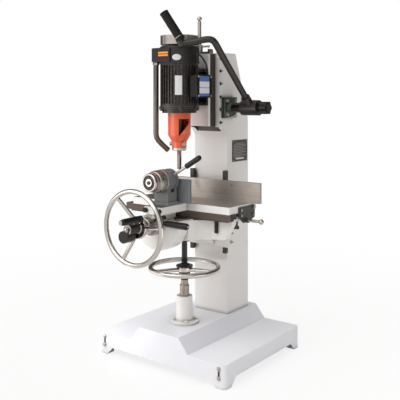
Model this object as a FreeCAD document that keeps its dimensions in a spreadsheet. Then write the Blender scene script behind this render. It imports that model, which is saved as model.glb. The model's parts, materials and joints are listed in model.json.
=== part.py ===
import FreeCAD, Part
import Sketcher
import os
import re

# Floor-standing hollow-chisel mortiser. Millimetres, +X to the machine's right, +Y to its back, +Z up,
# origin at the centre of the base on the floor. Every size is a named cell of the sheet below.

SIZES = [
    ("gap", 0.3, "gap between pieces that move past each other"),
    ("fit", 0.05, "radial running fit"),
    # base pan
    ("base_w", 640, "base width"),
    ("base_d", 556, "base depth"),
    ("base_h", 91, "height of the base edge"),
    ("base_wall", 6, "wall of the base pan"),
    ("base_round", 18, "radius of the base corners"),
    ("hump_top", 147, "top of the centre hump"),
    ("hump_low", 146, "half width of the hump at its foot"),
    ("hump_high", 100, "half width of the hump top"),
    ("arch_h", 31, "height of the floor arches"),
    ("arch_foot", 40, "foot width at the floor"),
    ("arch_top", 70, "foot width at the arch top"),
    ("pad_t", 10, "thickness of the corner pads"),
    ("foot_r", 6.5, "radius of the levelling foot holes"),
    ("strap_x", 292, "place of the front corner straps"),
    ("strap_w", 9, "strap width"),
    ("strap_t", 3, "strap thickness"),
    ("strap_low", 33, "lower end of the strap"),
    ("strap_high", 78, "upper end of the strap"),
    # column
    ("col_half", 86, "half width of the column"),
    ("col_front", 72.5, "front of the lower column"),
    ("col_back", 235, "back of the column"),
    ("col_wall", 12, "column wall"),
    ("col_top", 1260, "top of the column"),
    ("head_front", 17, "front of the head cheeks"),
    ("head_low", 946, "lower end of the head cheeks"),
    ("bar_in", 78, "inner side of the knee guide bars"),
    ("bar_out", 96, "outer side of the knee guide bars"),
    ("bar_front", 50, "front of the guide bars"),
    ("bar_neck", 62, "back of the bar heads"),
    ("bar_low", 410, "lower end of the guide bars"),
    ("bar_high", 760, "upper end of the guide bars"),
    ("plate_y", 109.5, "front edge of the name plate"),
    ("plate_w", 118, "name plate width"),
    ("plate_z", 793, "lower edge of the name plate"),
    ("plate_high", 93, "name plate height"),
    # head carriage
    ("way_half", 64, "half width of the head carriage"),
    ("rail_half", 71, "half width over the carriage rails"),
    ("rail_front", 20, "front of the carriage rails"),
    ("rail_back", 36, "back of the carriage rails"),
    ("car_front", -25, "front of the carriage"),
    ("car_back", 40, "back of the carriage"),
    ("car_low", 950, "bottom of the carriage"),
    ("car_top", 1254, "top of the carriage"),
    ("car_cham", 6, "chamfer on the front edges of the carriage"),
    # feed pinion and rack
    ("pin_y", 75.5, "feed shaft axis, Y"),
    ("pin_z", 1028, "feed shaft axis, Z"),
    ("pin_mod", 6, "module of the feed pinion"),
    ("pin_half", 12, "half width of the feed pinion"),
    ("pin_shaft", 15, "radius of the feed shaft"),
    ("bear_t", 18, "thickness of the bearing flange"),
    ("bear_w", 90, "length of the bearing flange"),
    ("bear_high", 88, "height of the bearing flange"),
    ("boss_r", 21.5, "radius of the bearing boss"),
    ("boss_end", 165, "outer end of the bearing boss"),
    ("hub_r", 32, "radius of the feed lever hub"),
    ("hub_end", 245, "outer end of the feed lever hub"),
    ("fknob_r", 28, "radius of the feed lock knob"),
    ("fknob_end", 292, "outer end of the feed lock knob"),
    ("arm_r", 14, "radius of the feed lever tube"),
    ("fgrip_r", 17.5, "radius of the feed lever grip"),
    # motor
    ("spin_y", -146, "spindle axis, Y"),
    ("brk_half", 57, "half width of the motor bracket"),
    ("brk_low", 1038, "bottom of the motor bracket"),
    ("brk_high", 1190, "top of the motor bracket"),
    ("brk_t", 12, "thickness of the motor bracket"),
    ("mot_r", 78, "radius over the motor fins"),
    ("mot_core", 72, "radius of the motor body between the fins"),
    ("mot_low", 1035, "bottom of the motor body"),
    ("mot_high", 1208, "top of the motor body"),
    ("mot_bore", 38, "radius of the motor bore"),
    ("bell_low", 1008, "bottom of the end bell"),
    ("bell_r", 70, "radius of the end bell"),
    ("cowl_r", 82, "radius of the fan cowl"),
    ("cowl_top", 1279, "top of the fan cowl"),
    ("cowl_wall", 3, "wall of the fan cowl"),
    ("drum_r", 77, "radius of the top drum"),
    ("drum_low", 1283, "bottom of the top drum"),
    ("drum_top", 1322, "top of the top drum"),
    ("drum_wall", 3, "wall of the top drum"),
    ("box_x", 120, "outer face of the terminal box"),
    ("box_y", -135, "centre of the terminal box, Y"),
    ("box_z", 1116, "centre of the terminal box, Z"),
    ("box_w", 98, "width of the terminal box"),
    ("box_high", 92, "height of the terminal box"),
    ("shaft_r", 9, "spindle radius"),
    ("lead_r", 3.2, "radius of the motor lead"),
    # chip blower
    ("blow_left", -86, "left side of the blower box"),
    ("blow_right", 20, "right side of the blower box"),
    ("blow_front", -234, "front of the blower box"),
    ("blow_cut", 15, "chamfer of the blower box's left front corner"),
    ("blow_low", 1214, "bottom of the blower box"),
    ("blow_top", 1270, "top of the blower box"),
    ("pipe_x", -75, "blower pipe, X"),
    ("pipe_y", -204, "blower pipe, Y"),
    ("pipe_low", 904, "height of the pipe's elbow"),
    ("mouth_x", 27, "reach of the pipe's mouth from the elbow, X"),
    ("mouth_y", 46, "reach of the pipe's mouth from the elbow, Y"),
    ("mouth_z", 50, "drop of the pipe's mouth from the elbow"),
    ("pipe_nut", 14, "radius of the pipe's nut"),
    ("pipe_r", 11, "blower pipe radius"),
    ("pipe_wall", 1.5, "blower pipe wall"),
    # chisel holder
    ("hold_r", 47, "radius of the chisel holder"),
    ("hold_wall", 8, "wall of the chisel holder"),
    ("hold_low", 919, "lower end of the wide part of the holder"),
    ("neck_high", 891, "upper end of the holder neck"),
    ("neck_low", 866, "lower end of the holder neck"),
    ("neck_r", 30, "radius of the holder neck"),
    ("ring_low", 854, "lower face of the nose ring"),
    ("shank_r", 9.5, "radius of the chisel shank"),
    ("chis_w", 12.7, "chisel width across the flats"),
    ("chis_low", 779, "tip of the chisel"),
    ("chis_high", 836, "upper end of the square part"),
    ("bit_r", 4.7, "radius of the auger bit"),
    ("bit_out", 3, "bit point below the chisel"),
    # depth stop
    ("stop_r", 7.5, "radius of the depth rod"),
    ("stop_y", -9, "depth rod axis, Y"),
    ("stop_low", 1130, "lower end of the depth rod"),
    ("stop_top", 1396, "upper end of the depth rod"),
    # pedestal and lift
    ("ped_y", -111.6, "pedestal axis, Y"),
    ("ped_flange", 59, "radius of the pedestal flange"),
    ("ped_flange_t", 10, "thickness of the pedestal flange"),
    ("ped_r", 35, "pedestal radius at its foot"),
    ("ped_r2", 32.5, "pedestal radius at its top"),
    ("ped_top", 256, "top of the pedestal tube"),
    ("ped_bore", 13, "bore of the pedestal"),
    ("slv_r", 19.4, "radius of the pedestal sleeve"),
    ("slv_top", 301, "top of the pedestal sleeve"),
    ("neckp_r", 15.5, "radius of the lift bearing"),
    ("neckp_top", 322, "top of the lift bearing"),
    ("screw_r", 12, "radius of the lift screw"),
    ("lift_r", 150, "outer radius of the lift handwheel"),
    ("rim_r", 10, "radius of the handwheel rims"),
    ("lift_z", 370, "plane of the lift handwheel"),
    ("boss_down", 16, "drop of the lift handwheel's boss below its plane"),
    ("boss_up", 4.4, "rise of the lift handwheel's boss over its plane"),
    ("flange_r", 34.5, "radius of the nut flange on the lift handwheel"),
    ("spoke_r", 8.9, "radius of the handwheel spokes"),
    # knee
    ("knee_half", 120, "half width of the knee"),
    ("knee_front", 35, "front of the knee plate"),
    ("knee_low", 440, "bottom of the knee"),
    ("knee_high", 585, "top of the knee"),
    ("shelf_low", 489, "underside of the knee shelf"),
    ("shelf_high", 520, "top of the knee shelf"),
    ("shelf_front", -140, "front of the knee shelf"),
    ("dove_low", 55, "half width of the shelf dovetail at its bottom"),
    ("dove_high", 75, "half width of the shelf dovetail at its top"),
    ("dove_front", -88, "front of the shelf dovetail"),
    ("nose_half", 34, "half width of the shelf's nose over the lift screw"),
    ("klock_y", 58, "knee lock, Y"),
    ("klock_z", 532, "knee lock, Z"),
    # saddle
    ("sad_left", -172, "left end of the saddle"),
    ("sad_right", 227, "right end of the saddle"),
    ("sad_front", -100, "front of the saddle"),
    ("sad_back", 30, "back of the saddle"),
    ("wing_t", 32, "thickness of the saddle's ends"),
    ("wing_top", 12, "thickness of the saddle's top at its ends"),
    ("sad_low", 482, "bottom of the saddle"),
    ("whl_x", -61, "main handwheel axis, X"),
    ("whl_z", 560.5, "main handwheel axis, Z"),
    ("apron_r", 110, "radius of the apron"),
    ("apron_front", -215, "front of the apron"),
    ("apron_back", -150, "back of the apron"),
    ("apron_top", 600, "top of the apron"),
    ("apron_side", 577, "top of the apron's shoulders"),
    ("apron_neck", 46, "half width of the apron above its shoulders"),
    ("web_run", 76, "reach of the apron's web along the saddle"),
    ("web_drop", 14, "drop of the web's top below the table slide"),
    ("sleeve_r", 34, "radius of the handwheel sleeve"),
    ("sleeve_front", -300, "front of the handwheel sleeve"),
    ("whl_r", 154, "outer radius of the main handwheel"),
    ("whl_y", -358, "plane of the main handwheel rim"),
    ("hubd_r", 45, "radius of the handwheel hub disc"),
    ("hubd_back", -318, "back of the handwheel hub disc"),
    ("hubd_front", -336, "front of the handwheel hub disc"),
    ("tube_r", 10, "radius of the handwheel shaft"),
    ("cross_r", 7, "radius of the cross-feed screw"),
    ("tp_mod", 3, "module of the table pinion"),
    ("crank_side", 28, "crank grip beside the axis"),
    ("crank_up", 39, "height of the crank grip above the axis"),
    ("crank_len", 95, "length of the crank grip"),
    ("grip_r", 13, "radius of the crank grip"),
    ("bob_r", 24, "radius of the crank counterweight"),
    ("lock_r", 13.5, "radius of the lock lever grip"),
    # table
    ("tab_half", 250, "half length of the table"),
    ("tab_front", -150, "front of the table"),
    ("tab_back", 44, "back of the table"),
    ("tab_top", 644.5, "top of the table"),
    ("tab_t", 29, "thickness of the table"),
    ("tong_half", 43, "half width of the table tongue"),
    ("tong_front", -310, "front of the table tongue"),
    ("slide_left", -300, "left end of the table slide"),
    ("slide_front", -140, "front of the table slide"),
    ("slide_back", 20, "back of the table slide"),
    ("slide_low", 588, "underside of the table slide"),
    ("tee_y", -60, "centre of the slide's tee rail"),
    ("tee_neck", 6, "half width of the tee rail's neck"),
    ("tee_head", 14, "half width of the tee rail's head"),
    ("tee_low", 594, "underside of the tee rail's head"),
    ("tee_top", 602, "top of the tee rail's head"),
    ("fence_left", -128, "left end of the fence"),
    ("fence_right", 295, "right end of the fence"),
    ("fence_t", 14, "fence thickness"),
    ("fence_top", 727, "top of the fence"),
    ("tlock_r", 6, "radius of the table lock's rod"),
    ("endp_t", 6, "thickness of the end bracket"),
    # vise
    ("vis_z", 740, "vise axis, Z"),
    ("vis_r", 46, "radius of the vise casting"),
    ("vis_front", -262, "front of the vise casting"),
    ("vis_back", -205, "back of the vise casting"),
    ("ram_r", 18, "radius of the vise ram"),
    ("vdrum_r", 45, "radius of the vise drum"),
    ("vdrum_front", -320, "front of the vise drum"),
    ("vknob_r", 36.5, "radius of the vise knob"),
    ("vknob_front", -335, "front of the vise knob"),
    ("jaw_left", -80, "left end of the jaw"),
    ("jaw_right", 90, "right end of the jaw"),
    ("jaw_back", -180, "face of the jaw"),
    ("jaw_t", 14, "jaw thickness"),
    ("jaw_low", 650, "bottom of the jaw"),
    ("jaw_high", 745, "top of the jaw"),
    ("vlev_r", 6, "radius of the vise lever"),
    ("vgrip_r", 10.5, "radius of the vise lever grip"),
]

doc = FreeCAD.newDocument("Mortiser")
sheet = doc.addObject("Spreadsheet::Sheet", "Sizes")
for row, (alias, value, note) in enumerate(SIZES, 1):
    sheet.set(f"A{row}", note)
    sheet.set(f"B{row}", str(value))
    sheet.setAlias(f"B{row}", alias)
doc.recompute()

NAMES = {alias for alias, _, _ in SIZES}
TURN = {
    "x": FreeCAD.Rotation(FreeCAD.Vector(1, 1, 1), 120),
    "y": FreeCAD.Rotation(FreeCAD.Vector(1, 1, 1), -120),
    "z": FreeCAD.Rotation(),
}
DIRECTION = {
    "x": FreeCAD.Vector(1, 0, 0),
    "y": FreeCAD.Vector(0, 1, 0),
    "z": FreeCAD.Vector(0, 0, 1),
}
NODES = []


def fx(text):
    """Turns a size expression into one that reads the sheet."""
    return re.sub(r"[a-z_]\w*", lambda word: f"Sizes.{word[0]}" if word[0] in NAMES else word[0], str(text))


def bind(obj, **sizes):
    """Binds properties of an object to size expressions."""
    for prop, text in sizes.items():
        obj.setExpression(prop.replace("__", "."), fx(text))
    return obj


def at(obj, axis, first, second, along, spin=0):
    """Lays an object's own Z along an axis and puts it at a bound place."""
    x, y, z = {"x": (along, first, second), "y": (first, along, second), "z": (first, second, along)}[axis]
    turn = FreeCAD.Rotation(DIRECTION[axis], spin).multiply(TURN[axis])
    obj.Placement = FreeCAD.Placement(FreeCAD.Vector(), turn)
    return bind(obj, Placement__Base__x=x, Placement__Base__y=y, Placement__Base__z=z)


def box(x0, x1, y0, y1, z0, z1):
    """A block between bound limits."""
    obj = doc.addObject("Part::Box", "Block")
    bind(obj, Length=f"({x1})-({x0})", Width=f"({y1})-({y0})", Height=f"({z1})-({z0})")
    return bind(obj, Placement__Base__x=x0, Placement__Base__y=y0, Placement__Base__z=z0)


def cyl(axis, radius, first, second, start, end):
    """A round bar along an axis."""
    obj = doc.addObject("Part::Cylinder", "Round")
    bind(obj, Radius=radius, Height=f"({end})-({start})")
    return at(obj, axis, first, second, start)


def cone(axis, radius, radius2, first, second, start, end):
    """A tapered bar along an axis."""
    obj = doc.addObject("Part::Cone", "Taper")
    bind(obj, Radius1=radius, Radius2=radius2, Height=f"({end})-({start})")
    return at(obj, axis, first, second, start)


def ring(axis, radius, tube, first, second, along):
    """A torus about an axis."""
    obj = doc.addObject("Part::Torus", "Ring")
    bind(obj, Radius1=radius, Radius2=tube)
    return at(obj, axis, first, second, along)


def ball(radius, x, y, z):
    """A sphere."""
    obj = doc.addObject("Part::Sphere", "Ball")
    bind(obj, Radius=radius)
    return at(obj, "z", x, y, z)


def hexagon(axis, radius, first, second, start, end):
    """A hexagonal head or nut."""
    obj = doc.addObject("Part::Prism", "Hexagon")
    obj.Polygon = 6
    bind(obj, Circumradius=radius, Height=f"({end})-({start})")
    return at(obj, axis, first, second, start)


def prism(axis, points, start, end):
    """A polygon, drawn as a constrained sketch, extruded along an axis.

    The points are (Y, Z) for the x axis, (X, Z) for y and (X, Y) for z.
    """
    sketch = doc.addObject("Sketcher::SketchObject", "Outline")
    if axis == "y":
        points = [(second, first) for first, second in points]
    spots = [FreeCAD.Vector(*(float(sheet.evalExpression(fx(part))) for part in point)) for point in points]
    count = len(spots)
    for index in range(count):
        sketch.addGeometry(Part.LineSegment(spots[index], spots[(index + 1) % count]), False)
    for index in range(count):
        sketch.addConstraint(Sketcher.Constraint("Coincident", index, 2, (index + 1) % count, 1))
    for index, (first, second) in enumerate(points):
        number = sketch.addConstraint(Sketcher.Constraint("DistanceX", -1, 1, index, 1, spots[index].x))
        sketch.setExpression(f"Constraints[{number}]", fx(first))
        number = sketch.addConstraint(Sketcher.Constraint("DistanceY", -1, 1, index, 1, spots[index].y))
        sketch.setExpression(f"Constraints[{number}]", fx(second))
    at(sketch, axis, "0", "0", start)
    obj = doc.addObject("Part::Extrusion", "Prism")
    obj.Base = sketch
    obj.DirMode = "Custom"
    obj.Dir = DIRECTION[axis]
    obj.Solid = True
    return bind(obj, LengthFwd=f"({end})-({start})")


def rod(radius, start, end, radius2=None):
    """A round bar between two bound points that don't lie on one axis."""
    if radius2 is None:
        obj = doc.addObject("Part::Cylinder", "Rod")
        bind(obj, Radius=radius)
    else:
        obj = doc.addObject("Part::Cone", "Rod")
        bind(obj, Radius1=radius, Radius2=radius2)
    x, y, z = (f"(({b})-({a}))" for a, b in zip(start, end))
    length = f"sqrt({x}^2+{y}^2+{z}^2)"
    bind(obj, Height=length)
    spot = f"vector({start[0]}; {start[1]}; {start[2]})"
    return bind(obj, Placement=f"placement({spot}; rotation(vector(0-{y}; {x}; 0); acos({z}/{length})))")


def tooth(axis, first, second, start, end, root, tip, wide, narrow, spin):
    """One straight-sided gear tooth on a wheel about an axis."""
    obj = doc.addObject("Part::Wedge", "Tooth")
    bind(obj, Xmin=f"0-({wide})/2", Xmax=f"({wide})/2", X2min=f"0-({narrow})/2", X2max=f"({narrow})/2")
    bind(obj, Ymin=root, Ymax=tip, Zmin=start, Zmax=end, Z2min=start, Z2max=end)
    return at(obj, axis, first, second, "0", spin)


def pinion(axis, first, second, start, end, module, count, turn):
    """A spur pinion; its first tooth stands at an angle from the axis' second direction."""
    pitch = f"{module}*{count}/2"
    parts = [cyl(axis, f"{pitch}-{module}*1.1", first, second, start, end)]
    for number in range(count):
        parts.append(tooth(axis, first, second, start, end, f"{pitch}-{module}*1.3", f"{pitch}+{module}*0.85",
                           f"{module}*2.05", f"{module}*0.72", turn + number * 360 / count))
    return parts


def fuse(*parts):
    """Joins objects."""
    if len(parts) == 1:
        return parts[0]
    obj = doc.addObject("Part::MultiFuse", "Joined")
    obj.Shapes = list(parts)
    obj.Refine = True
    return obj


def cut(base, *tools):
    """Takes tools away from a base."""
    obj = doc.addObject("Part::Cut", "Cut")
    obj.Base = base
    obj.Tool = fuse(*tools)
    obj.Refine = True
    return obj


def common(first, second):
    """Keeps what two objects share."""
    obj = doc.addObject("Part::Common", "Shared")
    obj.Base = first
    obj.Tool = second
    return obj


def node(name, obj):
    """Names a finished sub-part."""
    obj.Label = name
    NODES.append(obj)
    return obj


def both(make):
    """The same piece on the left and the right."""
    return [make(-1), make(1)]


# ---------------------------------------------------------------- base
half_w = "base_w/2"
half_d = "base_d/2"
footprint = fuse(
    box(f"0-{half_w}+base_round", f"{half_w}-base_round", f"0-{half_d}", half_d, "0", "hump_top"),
    box(f"0-{half_w}", half_w, f"0-{half_d}+base_round", f"{half_d}-base_round", "0", "hump_top"),
    *[cyl("z", "base_round", f"{i}*({half_w}-base_round)", f"{j}*({half_d}-base_round)", "0", "hump_top")
      for i in (-1, 1) for j in (-1, 1)])
shell = prism("y", [
    (f"0-{half_w}", "0"), (half_w, "0"), (half_w, "base_h"), ("hump_low", "base_h"), ("hump_high", "hump_top"),
    ("0-hump_high", "hump_top"), ("0-hump_low", "base_h"), (f"0-{half_w}", "base_h")], f"0-{half_d}", half_d)
hollow = prism("y", [
    (f"0-{half_w}+base_wall", "0-1"), (f"{half_w}-base_wall", "0-1"), (f"{half_w}-base_wall", "base_h-base_wall"),
    ("hump_low-base_wall/2", "base_h-base_wall"), ("hump_high-base_wall/2", "hump_top-base_wall"),
    ("0-hump_high+base_wall/2", "hump_top-base_wall"), ("0-hump_low+base_wall/2", "base_h-base_wall"),
    (f"0-{half_w}+base_wall", "base_h-base_wall")], f"0-{half_d}+base_wall", f"{half_d}-base_wall")
arch_front = prism("y", [
    (f"0-{half_w}+arch_foot", "0-1"), (f"{half_w}-arch_foot", "0-1"), (f"{half_w}-arch_top", "arch_h"),
    (f"0-{half_w}+arch_top", "arch_h")], f"0-{half_d}-1", f"{half_d}+1")
arch_side = prism("x", [
    (f"0-{half_d}+arch_foot", "0-1"), (f"{half_d}-arch_foot", "0-1"), (f"{half_d}-arch_top", "arch_h"),
    (f"0-{half_d}+arch_top", "arch_h")], f"0-{half_w}-1", f"{half_w}+1")
pan = cut(
    common(shell, footprint), hollow, arch_front, arch_side,
    box("0-col_half+col_wall*2", "col_half-col_wall*2", "col_front+col_wall*2", "col_back-col_wall*2",
        "hump_top-base_wall-1", "hump_top+1"))
corners = [(i, j) for i in (-1, 1) for j in (-1, 1)]
pad_x = f"({half_w}-(arch_foot+base_wall)/2)"
pad_y = f"({half_d}-(arch_foot+base_wall)/2)"
pad_half = "(arch_foot-base_wall)/2"
node("base_pan", cut(
    fuse(pan, *[box(f"{i}*{pad_x}-{pad_half}-0.5", f"{i}*{pad_x}+{pad_half}+0.5", f"{j}*{pad_y}-{pad_half}-0.5",
                    f"{j}*{pad_y}+{pad_half}+0.5", "0", "pad_t") for i, j in corners]),
    *[cyl("z", "foot_r", f"{i}*{pad_x}", f"{j}*{pad_y}", "0-1", "pad_t+1") for i, j in corners]))
node("base_straps", fuse(*[piece for i in (-1, 1) for piece in (
    box(f"{i}*strap_x-strap_w/2", f"{i}*strap_x+strap_w/2", f"0-{half_d}-strap_t", f"0-{half_d}",
        "strap_low", "strap_high"),
    hexagon("y", "strap_w/2+1.5", f"{i}*strap_x", "strap_low+5", f"0-{half_d}-strap_t-5", f"0-{half_d}-strap_t"),
    hexagon("y", "strap_w/2+1.5", f"{i}*strap_x", "strap_high-5", f"0-{half_d}-strap_t-5", f"0-{half_d}-strap_t"),
)]))

# ---------------------------------------------------------------- column
cove = "(col_front-head_front)"
cove_z = f"(head_low-{cove})"
solid = prism("x", [
    ("col_front", "hump_top"), ("col_front", cove_z), ("head_front", cove_z), ("head_front", "col_top"),
    ("col_back-98", "col_top"), ("col_back-37", "col_top-175"), ("col_back", "col_top-285"),
    ("col_back", "hump_top")], "0-col_half", "col_half")
node("column", cut(
    solid,
    cyl("x", cove, "head_front", cove_z, "0-col_half-1", "col_half+1"),
    box("0-way_half-gap", "way_half+gap", "head_front-1", "car_back+20", f"{cove_z}-1", "col_top+1"),
    box("0-rail_half-gap", "rail_half+gap", "rail_front-gap", "rail_back+gap", f"{cove_z}-1", "col_top+1"),
    box("0-pin_half-4", "way_half+gap", "car_back+19", "pin_y+pin_mod*9+8", "pin_z-pin_mod*9-8", "pin_z+pin_mod*9+8"),
    cyl("x", "pin_shaft+fit", "pin_y", "pin_z", "0-pin_half-22", "col_half+1"),
    box("0-col_half+col_wall", "col_half-col_wall", "col_front+col_wall", "col_back-col_wall",
        "hump_top-1", "head_low-40")))


def bar_outline(side):
    """The tee outline of one knee guide bar."""
    neck_in = f"{side}*(bar_in+5)"
    neck_out = f"{side}*(bar_out-5)"
    return [(f"{side}*bar_in", "bar_front"), (f"{side}*bar_out", "bar_front"), (f"{side}*bar_out", "bar_neck"),
            (neck_out, "bar_neck"), (neck_out, "col_front"), (neck_in, "col_front"), (neck_in, "bar_neck"),
            (f"{side}*bar_in", "bar_neck")]


node("guide_bars", fuse(*both(lambda side: prism("z", bar_outline(side), "bar_low", "bar_high"))))
node("name_plate", fuse(
    box("col_half", "col_half+1.5", "plate_y", "plate_y+plate_w", "plate_z", "plate_z+plate_high"),
    *[cyl("x", "2.6", f"plate_y+plate_w*{i}+{6 - 12 * i}", f"plate_z+plate_high*{j}+{6 - 12 * j}", "col_half+1.5",
          "col_half+2.7") for i in (0, 1) for j in (0, 1)]))
gib_z = [f"head_low+{step}" for step in (19, 74, 127, 183, 236, 289)]
node("head_gibs", fuse(*[piece for z in gib_z for piece in (
    hexagon("x", "6", "head_front+6.5", z, "col_half", "col_half+5"),
    cyl("x", "3", "head_front+6.5", z, "col_half+5", "col_half+12"))]))
node("feed_bearing", cut(
    fuse(box("col_half", "col_half+bear_t", "pin_y-bear_w/2", "pin_y+bear_w/2", "pin_z-bear_high/2",
             "pin_z+bear_high/2"),
         cone("x", "boss_r+8", "boss_r", "pin_y", "pin_z", "col_half+bear_t", "col_half+bear_t+14"),
         cyl("x", "boss_r", "pin_y", "pin_z", "col_half+bear_t+14", "boss_end"),
         *[hexagon("x", "8", f"pin_y+{i}*(bear_w/2-15)", f"pin_z+{j}*(bear_high/2-15)", "col_half+bear_t-1",
                   "col_half+bear_t+7") for i in (-1, 1) for j in (-1, 1)]),
    cyl("x", "pin_shaft+fit", "pin_y", "pin_z", "col_half-1", "boss_end+1")))

# ---------------------------------------------------------------- pedestal
node("pedestal", cut(
    fuse(cyl("z", "ped_flange", "0", "ped_y", "hump_top", "hump_top+ped_flange_t"),
         cone("z", "ped_r", "ped_r2", "0", "ped_y", "hump_top+ped_flange_t", "ped_top"),
         *[hexagon("z", "7.5", f"{i}*(ped_flange+ped_r)*0.354", f"ped_y+{j}*(ped_flange+ped_r)*0.354",
                   "hump_top+ped_flange_t-1", "hump_top+ped_flange_t+6") for i in (-1, 1) for j in (-1, 1)]),
    cyl("z", "ped_bore", "0", "ped_y", "hump_top+ped_flange_t+6", "ped_top+1")))
node("lift_bearing", cut(
    fuse(cyl("z", "slv_r", "0", "ped_y", "ped_top", "slv_top"),
         cyl("z", "neckp_r", "0", "ped_y", "slv_top", "neckp_top")),
    cyl("z", "ped_bore", "0", "ped_y", "ped_top-1", "neckp_top+1")))


def spokes(axis, first, second, inner, outer, near, far, angles):
    """Spokes from a hub to a rim; near and far are their places along the axis."""
    made = []
    for angle in angles:
        ends = []
        for radius, along in ((inner, near), (outer, far)):
            one = f"({first})+({radius})*cos({angle})"
            two = f"({second})+({radius})*sin({angle})"
            ends.append({"y": (one, along, two), "z": (one, two, along)}[axis])
        made.append(rod("spoke_r", ends[0], ends[1]))
    return made


node("lift_wheel", cut(
    fuse(cyl("z", "30", "0", "ped_y", "lift_z-boss_down", "lift_z+boss_up"),
         ring("z", "lift_r-rim_r", "rim_r", "0", "ped_y", "lift_z"),
         *spokes("z", "0", "ped_y", "20", "lift_r-rim_r", "lift_z-6", "lift_z-1", (127, 247, 7))),
    cyl("z", "screw_r+fit", "0", "ped_y", "lift_z-20", "lift_z+20")))
node("lift_nut", cut(
    fuse(cone("z", "neckp_r+0.5", "25", "0", "ped_y", "neckp_top+gap", "lift_z-boss_down"),
         cyl("z", "flange_r", "0", "ped_y", "lift_z+boss_up", "lift_z+boss_up+6"),
         cyl("z", "screw_r+6", "0", "ped_y", "lift_z+boss_up+5", "lift_z+18")),
    cyl("z", "screw_r+fit", "0", "ped_y", "neckp_top-1", "lift_z+20")))

# ---------------------------------------------------------------- knee
node("lift_screw", fuse(
    cyl("z", "screw_r", "0", "ped_y", "slv_top-60", "shelf_low"),
    cyl("z", "screw_r*2.2", "0", "ped_y", "shelf_low-10", "shelf_low")))
node("knee", cut(
    fuse(box("0-knee_half", "knee_half", "knee_front", "col_front-gap", "knee_low", "knee_high"),
         prism("y", [("0-dove_low", "shelf_low"), ("dove_low", "shelf_low"), ("dove_high", "shelf_high"),
                     ("0-dove_high", "shelf_high")], "dove_front", "knee_front+1"),
         box("0-nose_half", "nose_half", "shelf_front", "dove_front+1", "shelf_low", "shelf_high"),
         prism("x", [("knee_front+1", "knee_low+6"), ("knee_front+1", "shelf_low"), ("0-72", "shelf_low")],
               "0-45", "45"),
         box("whl_x-15", "whl_x+15", "0-70", "0-48", "shelf_high-1", "whl_z+15"),
         *[piece for z in ("500", "462") for piece in (
             hexagon("x", "6.8", "52", z, "knee_half-1", "knee_half+5"),
             cyl("x", "3.2", "52", z, "knee_half+4", "knee_half+12"))]),
    cyl("y", "cross_r+fit", "whl_x", "whl_z", "0-71", "0-47"),
    cyl("x", "5+fit", "klock_y", "klock_z", "knee_half-16", "knee_half+1"),
    *[box(f"{side}*(bar_in+bar_out)/2-(bar_out-bar_in)/2-gap", f"{side}*(bar_in+bar_out)/2+(bar_out-bar_in)/2+gap",
          "bar_front-gap", "bar_neck+gap", "knee_low-1", "knee_high+1") for side in (-1, 1)],
    *[box(f"{side}*(bar_in+bar_out)/2-(bar_out-bar_in)/2+5-gap", f"{side}*(bar_in+bar_out)/2+(bar_out-bar_in)/2-5+gap",
          "bar_neck-1", "col_front+1", "knee_low-1", "knee_high+1") for side in (-1, 1)]))
node("knee_lock", fuse(
    cyl("x", "5", "klock_y", "klock_z", "knee_half-15", "knee_half+8"),
    cyl("x", "9", "klock_y", "klock_z", "knee_half+gap", "knee_half+26"),
    *[cyl("x", "7.5", f"klock_y+14*cos({a})", f"klock_z+14*sin({a})", "knee_half+14", "knee_half+26")
      for a in (80, 200, 320)]))

# ---------------------------------------------------------------- saddle
sad_top = "(slide_low-gap)"
tip_r = "(tp_mod*8+tp_mod*0.85)"
slope = "((dove_high-dove_low)/(shelf_high-shelf_low))"
node("saddle", cut(
    fuse(prism("y", [
            ("sad_left", "sad_low"), ("whl_x", "sad_low"), ("sad_right-34", "sad_low+23"),
            ("sad_right", "sad_low+86"), ("sad_right", sad_top), ("sad_left", sad_top)], "sad_front", "sad_back"),
         box("sad_left", "sad_right", "tee_y-tee_neck", "tee_y+tee_neck", f"{sad_top}-1", "tee_top-1"),
         box("sad_left", "sad_right", "tee_y-tee_head", "tee_y+tee_head", "tee_low", "tee_top")),
    prism("y", [
        (f"0-dove_low-gap*1.4+{slope}*(shelf_low-sad_low+1)", "sad_low-1"),
        (f"dove_low+gap*1.4-{slope}*(shelf_low-sad_low+1)", "sad_low-1"),
        ("dove_high+gap*2", "shelf_high+gap"), ("0-dove_high-gap*2", "shelf_high+gap")], "dove_front-gap", "sad_back+1"),
    box("0-nose_half-gap", "nose_half+gap", "sad_front-1", "dove_front", "sad_low-1", "shelf_high+gap"),
    box("whl_x-19", "whl_x+19", "0-76", "18", "shelf_high-1", "whl_z+19"),
    cyl("y", "cross_r+fit", "whl_x", "whl_z", "sad_front-1", "0-75"),
    cyl("y", "4+fit", "157", "575", "sad_front-1", "sad_front+20"),
    box("knee_half+12", "sad_right+1", "sad_front+wing_t", "sad_back+1", "sad_low-1", f"{sad_top}-wing_top"),
    box("sad_left-1", "0-knee_half-12", "sad_front+wing_t", "sad_back+1", "sad_low-1", f"{sad_top}-wing_top")))
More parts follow.
